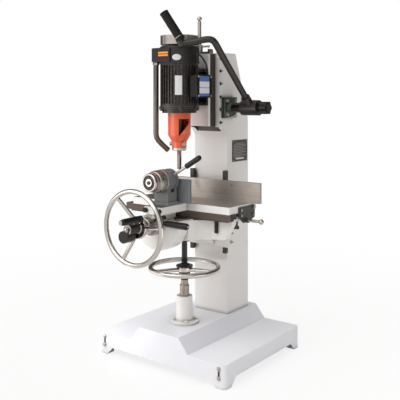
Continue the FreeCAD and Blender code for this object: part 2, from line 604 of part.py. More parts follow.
node("apron", cut(
    fuse(cyl("y", "apron_r", "whl_x", "whl_z", "apron_front", "apron_back"),
         box("whl_x-80", "whl_x+80", "apron_back-1", "sad_front", "sad_low", "slide_low-web_drop"),
         prism("z", [("whl_x", "apron_back"), ("whl_x+apron_r", "apron_back"),
                     ("whl_x+apron_r+0.12*web_run", "sad_front+0.66*(apron_back-sad_front)"),
                     ("whl_x+apron_r+0.34*web_run", "sad_front+0.34*(apron_back-sad_front)"),
                     ("whl_x+apron_r+0.64*web_run", "sad_front+0.12*(apron_back-sad_front)"),
                     ("whl_x+apron_r+web_run", "sad_front"), ("whl_x", "sad_front")],
               "sad_low", "slide_low-web_drop")),
    prism("y", [("whl_x-200", "sad_low-60"), ("sad_right-34", "sad_low-60"), ("sad_right-34", "sad_low+23"),
                ("whl_x", "sad_low"), ("whl_x-200", "sad_low")], "apron_back", "sad_front+1"),
    box("0-nose_half-gap", "nose_half+gap", "shelf_front-gap", "sad_front+1", "sad_low-1", "shelf_high+gap"),
    box("whl_x-200", "whl_x+200", "apron_front-1", "apron_back+1", "apron_top", "apron_top+200"),
    *[box(f"whl_x+{side}*(apron_neck+100)-100", f"whl_x+{side}*(apron_neck+100)+100", "apron_front-1",
          "apron_back+1", "apron_side", "apron_top+1") for side in (-1, 1)],
    cyl("y", f"{tip_r}+2", "whl_x", "whl_z", "apron_back+4", "sad_front-14"),
    box(f"whl_x-{tip_r}-2", f"whl_x+{tip_r}+2", "apron_back+4", "sad_front-14", "whl_z", "slide_low"),
    cyl("y", "tube_r+fit", "whl_x", "whl_z", "apron_front-1", "sad_front-13"),
    cyl("y", "cross_r+fit", "whl_x", "whl_z", "sad_front-15", "sad_front+1")))
node("wheel_sleeve", cut(
    fuse(cyl("y", "sleeve_r+6", "whl_x", "whl_z", "apron_front-18", "apron_front"),
         cyl("y", "sleeve_r", "whl_x", "whl_z", "sleeve_front", "apron_front-18"),
         cyl("y", "sleeve_r-10", "whl_x", "whl_z", "hubd_back+gap", "sleeve_front")),
    cyl("y", "tube_r+fit", "whl_x", "whl_z", "hubd_back-1", "apron_front+1")))
lock_y = "(apron_front-18-gap)"
node("lock_lever", cut(
    fuse(cyl("y", "sleeve_r+10", "whl_x", "whl_z", f"{lock_y}-26", lock_y),
         cyl("x", "8", f"{lock_y}-13", "whl_z+10", "whl_x+sleeve_r+4", "whl_x+73"),
         cyl("x", "lock_r", f"{lock_y}-13", "whl_z+10", "whl_x+72", "whl_x+176"),
         ball("lock_r", "whl_x+176", f"{lock_y}-13", "whl_z+10")),
    cyl("y", "sleeve_r+fit", "whl_x", "whl_z", f"{lock_y}-27", f"{lock_y}+1")))
node("saddle_key", fuse(
    cyl("y", "4", "157", "575", "sad_front-10", "sad_front+19"),
    box("151", "163", "sad_front-10", "sad_front-gap", "529", "581")))

# ---------------------------------------------------------------- main handwheel and table pinion
node("table_pinion", cut(
    fuse(cyl("y", "tube_r", "whl_x", "whl_z", "hubd_front", "sad_front-16"),
         *pinion("y", "whl_x", "whl_z", "slide_front+2", "slide_front+20", "tp_mod", 16, 101.25)),
    cyl("y", "cross_r+fit", "whl_x", "whl_z", "hubd_front-1", "sad_front")))
node("main_wheel", cut(
    fuse(cyl("y", "hubd_r", "whl_x", "whl_z", "hubd_front", "hubd_back"),
         ring("y", "whl_r-rim_r", "rim_r", "whl_x", "whl_z", "whl_y"),
         *spokes("y", "whl_x", "whl_z", "hubd_r-8", "whl_r-rim_r", "(hubd_front+hubd_back)/2+2", "whl_y",
                 (127, 247, 7))),
    cyl("y", "tube_r", "whl_x", "whl_z", "hubd_front-1", "hubd_back+1")))

# ---------------------------------------------------------------- cross-feed crank
arm_back = "(hubd_front-6.5)"
arm_front = "(hubd_front-20)"
arm_mid = "(hubd_front-13.5)"
grip_x = "(whl_x+crank_side)"
grip_z = "(whl_z+crank_up)"
bob_x = "(whl_x-crank_side*0.82)"
bob_z = "(whl_z-crank_up*0.82)"
node("cross_crank", fuse(
    cyl("y", "cross_r", "whl_x", "whl_z", f"{arm_front}-30", "16"),
    cyl("y", "20", "whl_x", "whl_z", f"{arm_front}-34", "hubd_front-gap"),
    rod("6.4", (grip_x, arm_mid, grip_z), (bob_x, f"{arm_mid}-0.01", bob_z)),
    cyl("y", "13", grip_x, grip_z, arm_front, arm_back),
    cyl("y", "5", grip_x, grip_z, f"{arm_front}-crank_len-4", f"{arm_front}+3"),
    cyl("y", "9", grip_x, grip_z, f"{arm_front}-crank_len-7", f"{arm_front}-crank_len-1"),
    cyl("y", "bob_r", bob_x, bob_z, f"{arm_front}-34", arm_back),
    hexagon("y", "11", "whl_x", "whl_z", f"{arm_front}-40", f"{arm_front}-34"),
    ball("8", "whl_x", f"{arm_front}-40", "whl_z")))
node("crank_grip", cut(
    cyl("y", "grip_r", grip_x, grip_z, f"{arm_front}-crank_len+gap", f"{arm_front}-gap"),
    cyl("y", "5+fit", grip_x, grip_z, f"{arm_front}-crank_len-1", f"{arm_front}+3")))

# ---------------------------------------------------------------- table
tab_low = "(tab_top-tab_t)"
node("table", fuse(
    box("0-tab_half", "tab_half", "tab_front", "tab_back", tab_low, "tab_top"),
    box("0-tong_half", "tong_half", "tong_front", "tab_front+1", tab_low, "tab_top"),
    *[cyl("y", "9", f"{i}*(tong_half-8)", f"{tab_low}+tab_t/2", "tong_front-12", "tong_front+1")
      for i in (-1, 1)]))
pitch = "(tp_mod*3.14159265)"
rack_z = "(whl_z+tp_mod*8)"
rack_teeth = [
    prism("y", [
        (f"whl_x+{pitch}*{k}-tp_mod*0.98", "slide_low+0.5"), (f"whl_x+{pitch}*{k}+tp_mod*0.98", "slide_low+0.5"),
        (f"whl_x+{pitch}*{k}+tp_mod*0.36", f"{rack_z}-tp_mod*0.85"),
        (f"whl_x+{pitch}*{k}-tp_mod*0.36", f"{rack_z}-tp_mod*0.85")], "slide_front", "slide_front+22")
    for k in range(-22, 32)]
node("table_slide", cut(
    fuse(box("slide_left", "tab_half", "slide_front", "slide_back", "slide_low", tab_low), *rack_teeth,
         box("tab_half-14", "tab_half+6", "slide_front+1", "slide_front+32", "slide_low+14", f"{tab_low}-2")),
    box("tab_half-26", "tab_half+1", "slide_front+22", "slide_back+1", "slide_low-1", "slide_low+13"),
    box("slide_left-1", "tab_half+1", "tee_y-tee_neck-gap", "tee_y+tee_neck+gap", "slide_low-1", "tee_top"),
    box("slide_left-1", "tab_half+1", "tee_y-tee_head-gap", "tee_y+tee_head+gap", "tee_low-gap", "tee_top+gap")))
node("fence", cut(
    fuse(box("fence_left", "fence_right", "0", "fence_t", "tab_top", "fence_top"),
         box("fence_left+40", "tab_half-30", "fence_t-1", "fence_t+16", "tab_top", "tab_top+9")),
    cyl("y", "4", "160", "fence_top-17", "0-1", "fence_t+1")))
stub_y = "0-39"
stub_z = "582"
node("end_bracket", cut(
    fuse(prism("x", [("0-88", "tab_top-8"), ("25", "tab_top-8"), ("25", "slide_low"), ("0-20", "slide_low-15"),
                     ("0-56", "slide_low-15"), ("0-88", "slide_low+9")], "tab_half", "tab_half+endp_t"),
         cyl("x", "10", stub_y, stub_z, "tab_half+endp_t-1", "tab_half+endp_t+12"),
         *[cyl("x", "5", y, z, "tab_half+endp_t-1", "tab_half+endp_t+4") for y, z in (
             ("0-76", "tab_top-18"), ("13", "tab_top-18"), ("0-76", "slide_low+16"), ("13", "slide_low+12"))]),
    cyl("x", "tlock_r+fit", stub_y, stub_z, "tab_half-1", "tab_half+endp_t+13")))
node("table_lock", fuse(
    cyl("x", "tlock_r", stub_y, stub_z, "tab_half+1", "tab_half+72"),
    ball("tlock_r+4.5", "tab_half+76", stub_y, stub_z)))

# ---------------------------------------------------------------- vise
lev_y = "(vis_front+32)"
node("vise_body", cut(
    fuse(cyl("y", "vis_r", "0", "vis_z", "vis_front", "vis_back"),
         box("0-35", "35", "vis_front", "vis_back", "tab_top", "vis_z"),
         box("0-41", "41", "vis_front-6", "vis_back+2", "tab_top", "tab_top+14")),
    box("0-60", "60", f"{lev_y}-12", f"{lev_y}+12", "vis_z-vis_r+3", "vis_z+80"),
    cyl("y", "vis_r-3+gap", "0", "vis_z", f"{lev_y}-12", f"{lev_y}+12"),
    cyl("y", "ram_r+fit", "0", "vis_z", "vis_front-1", "vis_back+1")))
node("vise_drum", cut(
    cyl("y", "vdrum_r", "0", "vis_z", "vdrum_front", "vis_front"),
    cyl("y", "ram_r+1", "0", "vis_z", "vdrum_front+20", "vis_front+1"),
    cyl("y", "8+fit", "0", "vis_z", "vdrum_front-1", "vdrum_front+21")))
node("vise_knob", fuse(
    cyl("y", "8", "0", "vis_z", "vdrum_front-1", "vdrum_front+19"),
    cut(cyl("y", "vknob_r", "0", "vis_z", "vknob_front", "vdrum_front-gap"),
        *[cyl("y", "7", f"(vknob_r-2)*cos({a})", f"vis_z+(vknob_r-2)*sin({a})", "vknob_front-1", "vdrum_front")
          for a in (90, 210, 330)]),
    hexagon("y", "8", "0", "vis_z", "vknob_front-7", "vknob_front")))
node("vise_ram", fuse(
    cyl("y", "ram_r", "0", "vis_z", "vdrum_front+22", "jaw_back-jaw_t"),
    cyl("y", "35", "0", "vis_z", "jaw_back-jaw_t-6", "jaw_back-jaw_t")))
node("vise_jaw", box("jaw_left", "jaw_right", "jaw_back-jaw_t", "jaw_back", "jaw_low", "jaw_high"))
lev_in = ("25", lev_y, "vis_z+15.2")
lev_mid = ("103", lev_y, "vis_z+61.7")
lev_out = ("164", lev_y, "vis_z+98")
node("vise_lever", cut(
    fuse(cyl("y", "vis_r-3", "0", "vis_z", f"{lev_y}-11.5", f"{lev_y}+11.5"),
         rod("vlev_r", lev_in, lev_mid),
         rod("vgrip_r", lev_mid, lev_out),
         ball("vgrip_r", *lev_out)),
    cyl("y", "ram_r+fit", "0", "vis_z", f"{lev_y}-13", f"{lev_y}+13")))

# ---------------------------------------------------------------- head carriage
node("head_carriage", cut(
    fuse(prism("z", [
            ("0-way_half", "car_front+car_cham"), ("0-way_half+car_cham", "car_front"),
            ("way_half-car_cham", "car_front"), ("way_half", "car_front+car_cham"), ("way_half", "car_back"),
            ("0-way_half", "car_back")], "car_low", "car_top"),
         box("0-rail_half", "rail_half", "rail_front", "rail_back", "car_low", "car_top")),
    box("0-pin_half-1.5", "pin_half+1.5", "pin_y-pin_mod*9-pin_mod-6", "car_back+1", "car_low-1", "car_top+1"),
    cyl("z", "stop_r+fit", "0", "stop_y", "stop_low-60", "car_top+1")))
hpitch = "(pin_mod*3.14159265)"
line = "(pin_y-pin_mod*9)"
node("head_rack", fuse(
    box("0-pin_half", "pin_half", f"{line}-pin_mod-6", f"{line}-pin_mod*1.1", "car_low", "car_top"),
    *[prism("x", [
        (f"{line}-pin_mod*1.2", f"pin_z+{hpitch}*{k}-pin_mod*0.98"),
        (f"{line}-pin_mod*1.2", f"pin_z+{hpitch}*{k}+pin_mod*0.98"),
        (f"{line}+pin_mod*0.85", f"pin_z+{hpitch}*{k}+pin_mod*0.36"),
        (f"{line}+pin_mod*0.85", f"pin_z+{hpitch}*{k}-pin_mod*0.36")], "0-pin_half", "pin_half")
      for k in range(-3, 9)]))
motor = cyl("z", "mot_r", "0", "spin_y", "brk_low-1", "brk_high+1")
node("motor_bracket", fuse(
    cut(fuse(
        box("0-brk_half", "brk_half", "car_front-brk_t", "car_front", "brk_low", "brk_high"),
        box("0-brk_half", "brk_half", "spin_y+46", "car_front-brk_t+1", "brk_high-brk_t", "brk_high"),
        box("0-brk_half", "brk_half", "spin_y+46", "car_front-brk_t+1", "brk_low", "brk_low+brk_t")), motor),
    *[hexagon("x", "7", "car_front-28", z, "brk_half", "brk_half+6")
      for z in ("brk_high-brk_t/2", "brk_low+brk_t/2")]))
fin_count = 36
node("motor_body", cut(
    fuse(cyl("z", "mot_core", "0", "spin_y", "mot_low", "mot_high"),
         cyl("z", "mot_r", "0", "spin_y", "mot_low", "mot_low+10"),
         cyl("z", "mot_r", "0", "spin_y", "mot_high-8", "mot_high"),
         *[tooth("z", "0", "spin_y", "mot_low", "mot_high", "mot_core-2", "mot_r-0.1", "4", "2.4",
                 360 / fin_count * (k + 0.5)) for k in range(fin_count)]),
    cyl("z", "mot_bore", "0", "spin_y", "mot_low-1", "mot_high+1")))
node("end_bell", cut(
    fuse(cyl("z", "bell_r", "0", "spin_y", "bell_low", "mot_low"),
         cyl("z", "mot_r", "0", "spin_y", "mot_low-9", "mot_low"),
         *[cyl("z", "9", f"73*cos({a})", f"spin_y+73*sin({a})", "mot_low-14", "mot_low") for a in (45, 135, 225, 315)],
         *[hexagon("z", "6", f"73*cos({a})", f"spin_y+73*sin({a})", "mot_low-19", "mot_low-14")
           for a in (45, 135, 225, 315)]),
    cyl("z", "mot_bore", "0", "spin_y", "mot_low-12", "mot_low+1"),
    cyl("z", "shaft_r+fit", "0", "spin_y", "bell_low-1", "mot_low")))
node("fan_cowl", cut(
    fuse(cyl("z", "cowl_r", "0", "spin_y", "mot_high", "cowl_top-8"),
         cone("z", "cowl_r", "cowl_r-7", "0", "spin_y", "cowl_top-8", "cowl_top"),
         cyl("z", "30", "0", "spin_y", "cowl_top-1", "drum_low")),
    cyl("z", "cowl_r-cowl_wall", "0", "spin_y", "mot_high-1", "cowl_top-cowl_wall-7"),
    cyl("z", "24", "0", "spin_y", "mot_high", "cowl_top-cowl_wall"),
    *[cyl("z", "5", f"54*cos({a})", f"spin_y+54*sin({a})", "mot_high", "cowl_top+1") for a in range(15, 375, 30)],
    box("blow_left-1", "blow_right+gap", "blow_front-1", "spin_y", "blow_low", "blow_top+gap"),
    cyl("z", "pipe_nut+gap", "pipe_x", "pipe_y", "blow_low-20", "blow_low+1")))
node("top_drum", cut(
    cyl("z", "drum_r", "0", "spin_y", "drum_low", "drum_top"),
    cyl("z", "drum_r-drum_wall", "0", "spin_y", "drum_low+drum_wall", "drum_top+1")))

node("terminal_box", cut(
    fuse(box("box_x-34", "box_x-6", "box_y-box_w/2+4", "box_y+box_w/2-4", "box_z-box_high/2+4", "box_z+box_high/2-4"),
         box("40", "box_x-33", "box_y-36", "box_y+24", "box_z-34", "box_z+34"),
         box("box_x-6", "box_x", "box_y-box_w/2", "box_y+box_w/2", "box_z-box_high/2", "box_z+box_high/2"),
         *[cyl("x", "5", f"box_y+{i}*(box_w/2-8)", f"box_z+{j}*(box_high/2-8)", "box_x-1", "box_x+3")
           for i in (-1, 1) for j in (-1, 1)]),
    cyl("z", "mot_r", "0", "spin_y", "mot_low-9", "mot_high")))
node("rating_plate", common(
    cut(cyl("z", "mot_r+1.2", "0", "spin_y", "box_z-35", "box_z+42"),
        cyl("z", "mot_r", "0", "spin_y", "box_z-36", "box_z+43")),
    prism("z", [("39.5", "spin_y-81"), ("65.8", "spin_y-61.4"), ("51.2", "spin_y-47.7"), ("30.7", "spin_y-63")],
          "box_z-36", "box_z+43")))
lead_spots = [(79, -146, 1242), (92, -138, 1243), (101, -118, 1226), (100, -92, 1194), (96, -80, 1160), (96, -84, 1140),
              (97, -90, 1128)]
lead_curve = Part.BSplineCurve()
lead_curve.interpolate([FreeCAD.Vector(*spot) for spot in lead_spots])
lead_wire = Part.Wire([lead_curve.toShape()])
lead_start = lead_curve.value(lead_curve.FirstParameter)
lead_way = lead_curve.tangent(lead_curve.FirstParameter)[0]
lead_round = Part.Wire([Part.makeCircle(float(sheet.lead_r), lead_start, lead_way)])
lead = doc.addObject("Part::Feature", "Lead")
lead.Shape = lead_wire.makePipeShell([lead_round], True, False)
node("motor_lead", cut(
    lead,
    cyl("z", "cowl_r", "0", "spin_y", "mot_high", "cowl_top-8"),
    box("box_x-34", "box_x-6", "box_y-box_w/2+4", "box_y+box_w/2-4", "box_z-box_high/2+4", "box_z+box_high/2-4")))

# ---------------------------------------------------------------- chip blower
node("blower_box", cut(
    prism("z", [("blow_left", "blow_front+blow_cut"), ("blow_left+blow_cut", "blow_front"), ("blow_right", "blow_front"),
                ("blow_right", "spin_y-6"), ("blow_left", "spin_y-6")], "blow_low", "blow_top"),
    cyl("z", "cowl_r-cowl_wall", "0", "spin_y", "blow_low-1", "blow_top+1"),
    box("blow_right-50", "blow_right+1", "spin_y-20", "spin_y", "blow_low-1", "blow_top+1")))
elbow = ("pipe_x", "pipe_y", "pipe_low")
mouth = ("pipe_x+mouth_x", "pipe_y+mouth_y", "pipe_low-mouth_z")
pipe_top = "(blow_low-12)"
node("blower_pipe", fuse(
    hexagon("z", "pipe_nut", "pipe_x", "pipe_y", pipe_top, "blow_low"),
    cut(fuse(cyl("z", "pipe_r", "pipe_x", "pipe_y", "pipe_low", pipe_top), ball("pipe_r", *elbow),
             rod("pipe_r", elbow, mouth)),
        cyl("z", "pipe_r-pipe_wall", "pipe_x", "pipe_y", "pipe_low", f"{pipe_top}-2"),
        ball("pipe_r-pipe_wall", *elbow),
        rod("pipe_r-pipe_wall", elbow, ("pipe_x+mouth_x*1.1", "pipe_y+mouth_y*1.1", "pipe_low-mouth_z*1.1")))))

# ---------------------------------------------------------------- chisel holder and chisel
window = doc.addObject("Part::Wedge", "Window")
bind(window, Xmin="8", Xmax="hold_r+13", X2min="8", X2max="hold_r+13", Ymin="0-1", Ymax="hold_r-3")
bind(window, Zmin="hold_low-6", Zmax="bell_low-24", Z2min="bell_low-38", Z2max="bell_low-24")
at(window, "z", "0", "spin_y", "0", -53)
node("chisel_holder", cut(cut(
    fuse(cyl("z", "hold_r", "0", "spin_y", "hold_low", "bell_low"),
         cone("z", "neck_r+1", "hold_r", "0", "spin_y", "neck_high", "hold_low"),
         cyl("z", "neck_r", "0", "spin_y", "neck_low", "neck_high")),
    cyl("z", "hold_r-hold_wall", "0", "spin_y", "hold_low+2", "bell_low-4"),
    cone("z", "neck_r-9", "hold_r-hold_wall", "0", "spin_y", "neck_high+4", "hold_low+2"),
    cyl("z", "shank_r", "0", "spin_y", "neck_low-1", "neck_high+5"),
    cyl("z", "shaft_r+1", "0", "spin_y", "bell_low-5", "bell_low+1")), window))
node("nose_ring", cut(
    fuse(cyl("z", "neck_r-1", "0", "spin_y", "ring_low+2", "neck_low"),
         cone("z", "neck_r-5", "neck_r-1", "0", "spin_y", "ring_low", "ring_low+2")),
    cyl("z", "shank_r", "0", "spin_y", "ring_low-1", "neck_low+1")))
holder_z = "(neck_low+neck_high)/2+4"
node("holder_screws", cut(
    fuse(*[rod("5", ("0", "spin_y", holder_z), (f"40*cos({a})", f"spin_y+40*sin({a})", f"{holder_z}+0.01"))
           for a in (338, 218)],
         *[rod("8", (f"31*cos({a})", f"spin_y+31*sin({a})", holder_z),
               (f"38*cos({a})", f"spin_y+38*sin({a})", f"{holder_z}+0.01")) for a in (338, 218)]),
    cyl("z", "neck_r", "0", "spin_y", "neck_low", "neck_high+12")))
node("hollow_chisel", cut(
    fuse(cyl("z", "shank_r", "0", "spin_y", "ring_low", "neck_high"),
         cone("z", "chis_w/2+1", "shank_r", "0", "spin_y", "chis_high-2", "ring_low"),
         box("0-chis_w/2", "chis_w/2", "spin_y-chis_w/2", "spin_y+chis_w/2", "chis_low", "chis_high+4")),
    cyl("z", "bit_r+0.3", "0", "spin_y", "chis_low-1", "neck_high+1"),
    cone("z", "chis_w/2-0.4", "bit_r", "0", "spin_y", "chis_low-0.01", "chis_low+6"),
    box("chis_w/2-3.5", "chis_w", "spin_y-2.6", "spin_y+2.6", "chis_low+14", "chis_high-10")))

# ---------------------------------------------------------------- spindle
node("spindle", fuse(
    cyl("z", "shaft_r", "0", "spin_y", "bell_low-30", "cowl_top-12"),
    cyl("z", "mot_bore-0.6", "0", "spin_y", "mot_low+20", "mot_high-20"),
    cyl("z", "17", "0", "spin_y", "hold_low+6", "bell_low-30"),
    cone("z", "9", "17", "0", "spin_y", "hold_low-8", "hold_low+6"),
    cyl("z", "20", "0", "spin_y", "mot_high+10", "mot_high+40"),
    *[tooth("z", "0", "spin_y", "mot_high+14", "mot_high+34", "18", "44", "5", "3", a) for a in range(0, 360, 45)]))
node("auger_bit", fuse(
    cyl("z", "bit_r", "0", "spin_y", "chis_low-bit_out+3", "hold_low-8"),
    cone("z", "0.6", "bit_r", "0", "spin_y", "chis_low-bit_out", "chis_low-bit_out+3")))

# ---------------------------------------------------------------- depth stop
node("stop_bracket", cut(
    fuse(box("stop_r+fit-19", "62", "stop_y-15", "stop_y+15", "car_top", "car_top+9"),
         cyl("z", "14", "0", "stop_y", "car_top+8", "car_top+40"),
         cyl("x", "4", "stop_y", "car_top+32", "stop_r+2", "stop_r+38"),
         ball("6", "stop_r+40", "stop_y", "car_top+32"),
         box("52", "62", "stop_y-12", "stop_y+12", "car_top+8", "car_top+20")),
    cyl("z", "stop_r+fit", "0", "stop_y", "car_top-1", "car_top+41")))
node("depth_rod", fuse(
    cyl("z", "stop_r", "0", "stop_y", "stop_low", "stop_top"),
    ball("10.5", "0", "stop_y", "stop_top+8")))

# ---------------------------------------------------------------- feed lever
node("feed_pinion", fuse(
    cyl("x", "pin_shaft", "pin_y", "pin_z", "0-pin_half-18", "boss_end+20"),
    *pinion("x", "pin_y", "pin_z", "0-pin_half", "pin_half", "pin_mod", 18, 100)))
hub_mid = "(boss_end+hub_end)/2"
bend = (f"{hub_mid}-15", "0-170", "1294")
low_end = ("80", "0-235", "1283")
node("lever_hub", cut(
    fuse(cyl("x", "hub_r", "pin_y", "pin_z", "boss_end+gap", "hub_end"),
         rod("arm_r+5", (hub_mid, "pin_y", "pin_z"), (f"{hub_mid}-2.4", "pin_y-41", "pin_z+44.5"))),
    cyl("x", "pin_shaft", "pin_y", "pin_z", "boss_end-1", "boss_end+20"),
    cyl("x", "6+fit", "pin_y", "pin_z", "hub_end-30", "hub_end+1")))
node("lever_arm", cut(
    fuse(rod("arm_r", (hub_mid, "pin_y", "pin_z"), bend), ball("arm_r", *bend), rod("arm_r", bend, low_end),
         ball("arm_r+2", *low_end)),
    cyl("x", "hub_r", "pin_y", "pin_z", "boss_end", "hub_end+1"),
    rod("arm_r+5", (hub_mid, "pin_y", "pin_z"), (f"{hub_mid}-2.4", "pin_y-41", "pin_z+44.5"))))
grip_in = ("83.5", "0-236.6", "1290")
grip_low = ("80.5", "0-240", "1300")
grip_high = ("30", "0-270", "1393")
node("lever_grip", cut(
    fuse(rod("fgrip_r", grip_low, grip_high), ball("fgrip_r", *grip_high)),
    ball("arm_r+2", *low_end)))
node("feed_knob", fuse(
    cyl("x", "6", "pin_y", "pin_z", "hub_end-29", "hub_end+2"),
    cyl("x", "14", "pin_y", "pin_z", "hub_end+gap", "hub_end+12"),
    cyl("x", "fknob_r-8", "pin_y", "pin_z", "hub_end+11", "fknob_end"),
    *[cyl("x", "9", f"pin_y+(fknob_r-9)*cos({a})", f"pin_z+(fknob_r-9)*sin({a})", "hub_end+14", "fknob_end-3")
      for a in range(0, 360, 60)]))

doc.recompute()
broken = [obj.Label for obj in doc.Objects if {"Invalid", "Error"} & set(obj.State)]
for obj in NODES:
    if obj.Shape.isNull() or not obj.Shape.isValid() or not obj.Shape.Solids:
        broken.append(obj.Label)
if broken:
    raise RuntimeError("these objects failed: " + ", ".join(broken))
os.makedirs("parts", exist_ok=True)
for obj in NODES:
    obj.Shape.exportStep(f"parts/{obj.Label}.step")
print(len(NODES), "sub-parts")
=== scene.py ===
"""Floor-standing hollow chisel mortiser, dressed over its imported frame."""

from __future__ import annotations

import json
import logging
import math
from dataclasses import dataclass
from enum import Enum
from typing import Callable, Sequence

import bpy
from mathutils import Matrix, Vector

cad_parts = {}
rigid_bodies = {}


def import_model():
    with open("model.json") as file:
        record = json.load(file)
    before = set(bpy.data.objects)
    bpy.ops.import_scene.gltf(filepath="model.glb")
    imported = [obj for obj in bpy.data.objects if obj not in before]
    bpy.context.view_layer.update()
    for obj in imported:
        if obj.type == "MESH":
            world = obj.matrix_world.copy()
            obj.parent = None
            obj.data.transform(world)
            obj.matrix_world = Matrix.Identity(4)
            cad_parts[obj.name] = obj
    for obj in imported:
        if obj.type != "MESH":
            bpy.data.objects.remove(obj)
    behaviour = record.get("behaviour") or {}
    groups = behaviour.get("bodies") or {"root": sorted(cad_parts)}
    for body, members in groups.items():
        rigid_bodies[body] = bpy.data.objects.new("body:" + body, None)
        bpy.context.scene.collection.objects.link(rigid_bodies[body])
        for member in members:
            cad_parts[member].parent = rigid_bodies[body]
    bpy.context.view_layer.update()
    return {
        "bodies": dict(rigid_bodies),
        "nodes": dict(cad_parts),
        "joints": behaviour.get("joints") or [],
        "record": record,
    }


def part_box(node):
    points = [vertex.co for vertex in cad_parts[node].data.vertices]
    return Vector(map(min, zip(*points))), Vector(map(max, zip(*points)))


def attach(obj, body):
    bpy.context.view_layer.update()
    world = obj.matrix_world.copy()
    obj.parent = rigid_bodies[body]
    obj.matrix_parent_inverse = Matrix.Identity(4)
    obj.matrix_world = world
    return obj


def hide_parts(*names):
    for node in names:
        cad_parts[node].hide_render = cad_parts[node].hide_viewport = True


LOG = logging.getLogger("mortiser")
Point = tuple[float, float, float]
Colour = tuple[float, float, float]
Steps = Sequence[tuple[float, float]]
MM = 0.001


def srgb(red: int, green: int, blue: int) -> Colour:
    """Turns display values from 0 to 255 into a linear colour."""
    shares = (value / 255 for value in (red, green, blue))
    return tuple(((v + 0.055) / 1.055) ** 2.4 if v > 0.04 else v / 12.92 for v in shares)


def standing(along: float, way: int, steps: Steps) -> list[tuple[float, float]]:
    """Puts steps that are measured from a face at the face's place along its axis."""
    return [(along + way * place, radius) for place, radius in steps]


def ridges(start: float, end: float, pitch: float, ridge: Steps) -> list[tuple[float, float]]:
    """Repeats one ridge along an axis, as on a thread or a ribbed grip.

    Args:
        start: Place of the first ridge.
        end: Place before which the last ridge starts.
        pitch: Distance from ridge to ridge.
        ridge: The steps of one ridge, from its own start.

    Returns:
        The steps of all ridges.
    """
    steps = []
    while start < end:
        steps += standing(start, 1, ridge)
        start += pitch
    return steps


# ------------------------------------------------------------------ node groups


class Wiring:
    """Adds and links shader nodes in one tree."""

    def __init__(self, tree: bpy.types.NodeTree) -> None:
        """Empties the tree and starts on it.

        Args:
            tree: The tree.
        """
        tree.nodes.clear()
        self.tree = tree
        self.source: bpy.types.Node | None = None
        self.sink: bpy.types.Node | None = None

    def add(self, kind: str, inputs: dict | None = None, **settings: object) -> bpy.types.Node:
        """Adds a node.

        Args:
            kind: The node's type without its ShaderNode prefix.
            inputs: Socket names or numbers, each with a value or a socket to link from.
            settings: Properties of the node.

        Returns:
            The new node.
        """
        prefix = "" if kind.startswith("Node") else "ShaderNode"
        node = self.tree.nodes.new(prefix + kind)
        for key, value in settings.items():
            setattr(node, key, value)
        for key, value in (inputs or {}).items():
            if isinstance(value, bpy.types.NodeSocket):
                self.tree.links.new(value, node.inputs[key])
            else:
                node.inputs[key].default_value = value
        return node

    def effect(self, tree: bpy.types.NodeTree, place: bpy.types.NodeSocket | None = None,
               **values: object) -> bpy.types.Node:
        """Places a shared effect.

        Args:
            tree: The effect's node group.
            place: The coordinates that its pattern is read from, if it has a pattern.
            values: Values of its other inputs.

        Returns:
            The group node.
        """
        node = self.add("Group", node_tree=tree)
        if place is not None:
            self.tree.links.new(place, node.inputs["Vector"])
        for label, value in values.items():
            node.inputs[label].default_value = value
        return node

    def mix(self, factor: object, first: object, second: object) -> bpy.types.NodeSocket:
        """Mixes two colours by a factor."""
        return self.add("Mix", {0: factor, 6: first, 7: second}, data_type="RGBA").outputs[2]

    def math(self, operation: str, first: object, second: object = 0.0,
             clamp: bool = False) -> bpy.types.NodeSocket:
        """Does one sum."""
        node = self.add("Math", {0: first, 1: second}, operation=operation, use_clamp=clamp)
        return node.outputs[0]

    def finish(self, *sockets: bpy.types.NodeSocket) -> bpy.types.NodeTree:
        """Links a group's results to its outputs.

        Args:
            sockets: The results, in the order of the outputs.

        Returns:
            The group's tree.
        """
        for index, socket in enumerate(sockets):
            self.tree.links.new(socket, self.sink.inputs[index])
        return self.tree


def new_material(name: str) -> tuple[bpy.types.Material, Wiring]:
    """Makes a material without nodes.

    Args:
        name: The material's name.

    Returns:
        The material and the wiring of its tree.
    """
    material = bpy.data.materials.new(name)
    material.use_nodes = True
    return material, Wiring(material.node_tree)


def new_group(name: str, inputs: Sequence[tuple[str, str, object]],
              outputs: Sequence[tuple[str, str]]) -> Wiring:
    """Makes a shader node group with named sockets.

    Args:
        name: The group's name.
        inputs: Name, socket type and value of each input.
        outputs: Name and socket type of each output.

    Returns:
        The wiring of the group, with its input and output nodes in place.
    """
    tree = bpy.data.node_groups.new(name, "ShaderNodeTree")
    for label, kind, value in inputs:
        socket = tree.interface.new_socket(label, in_out="INPUT", socket_type=f"NodeSocket{kind}")
        if value is not None:
            socket.default_value = value
    for label, kind in outputs:
        tree.interface.new_socket(label, in_out="OUTPUT", socket_type=f"NodeSocket{kind}")
    wiring = Wiring(tree)
    wiring.source = wiring.add("NodeGroupInput")
    wiring.sink = wiring.add("NodeGroupOutput")
    return wiring


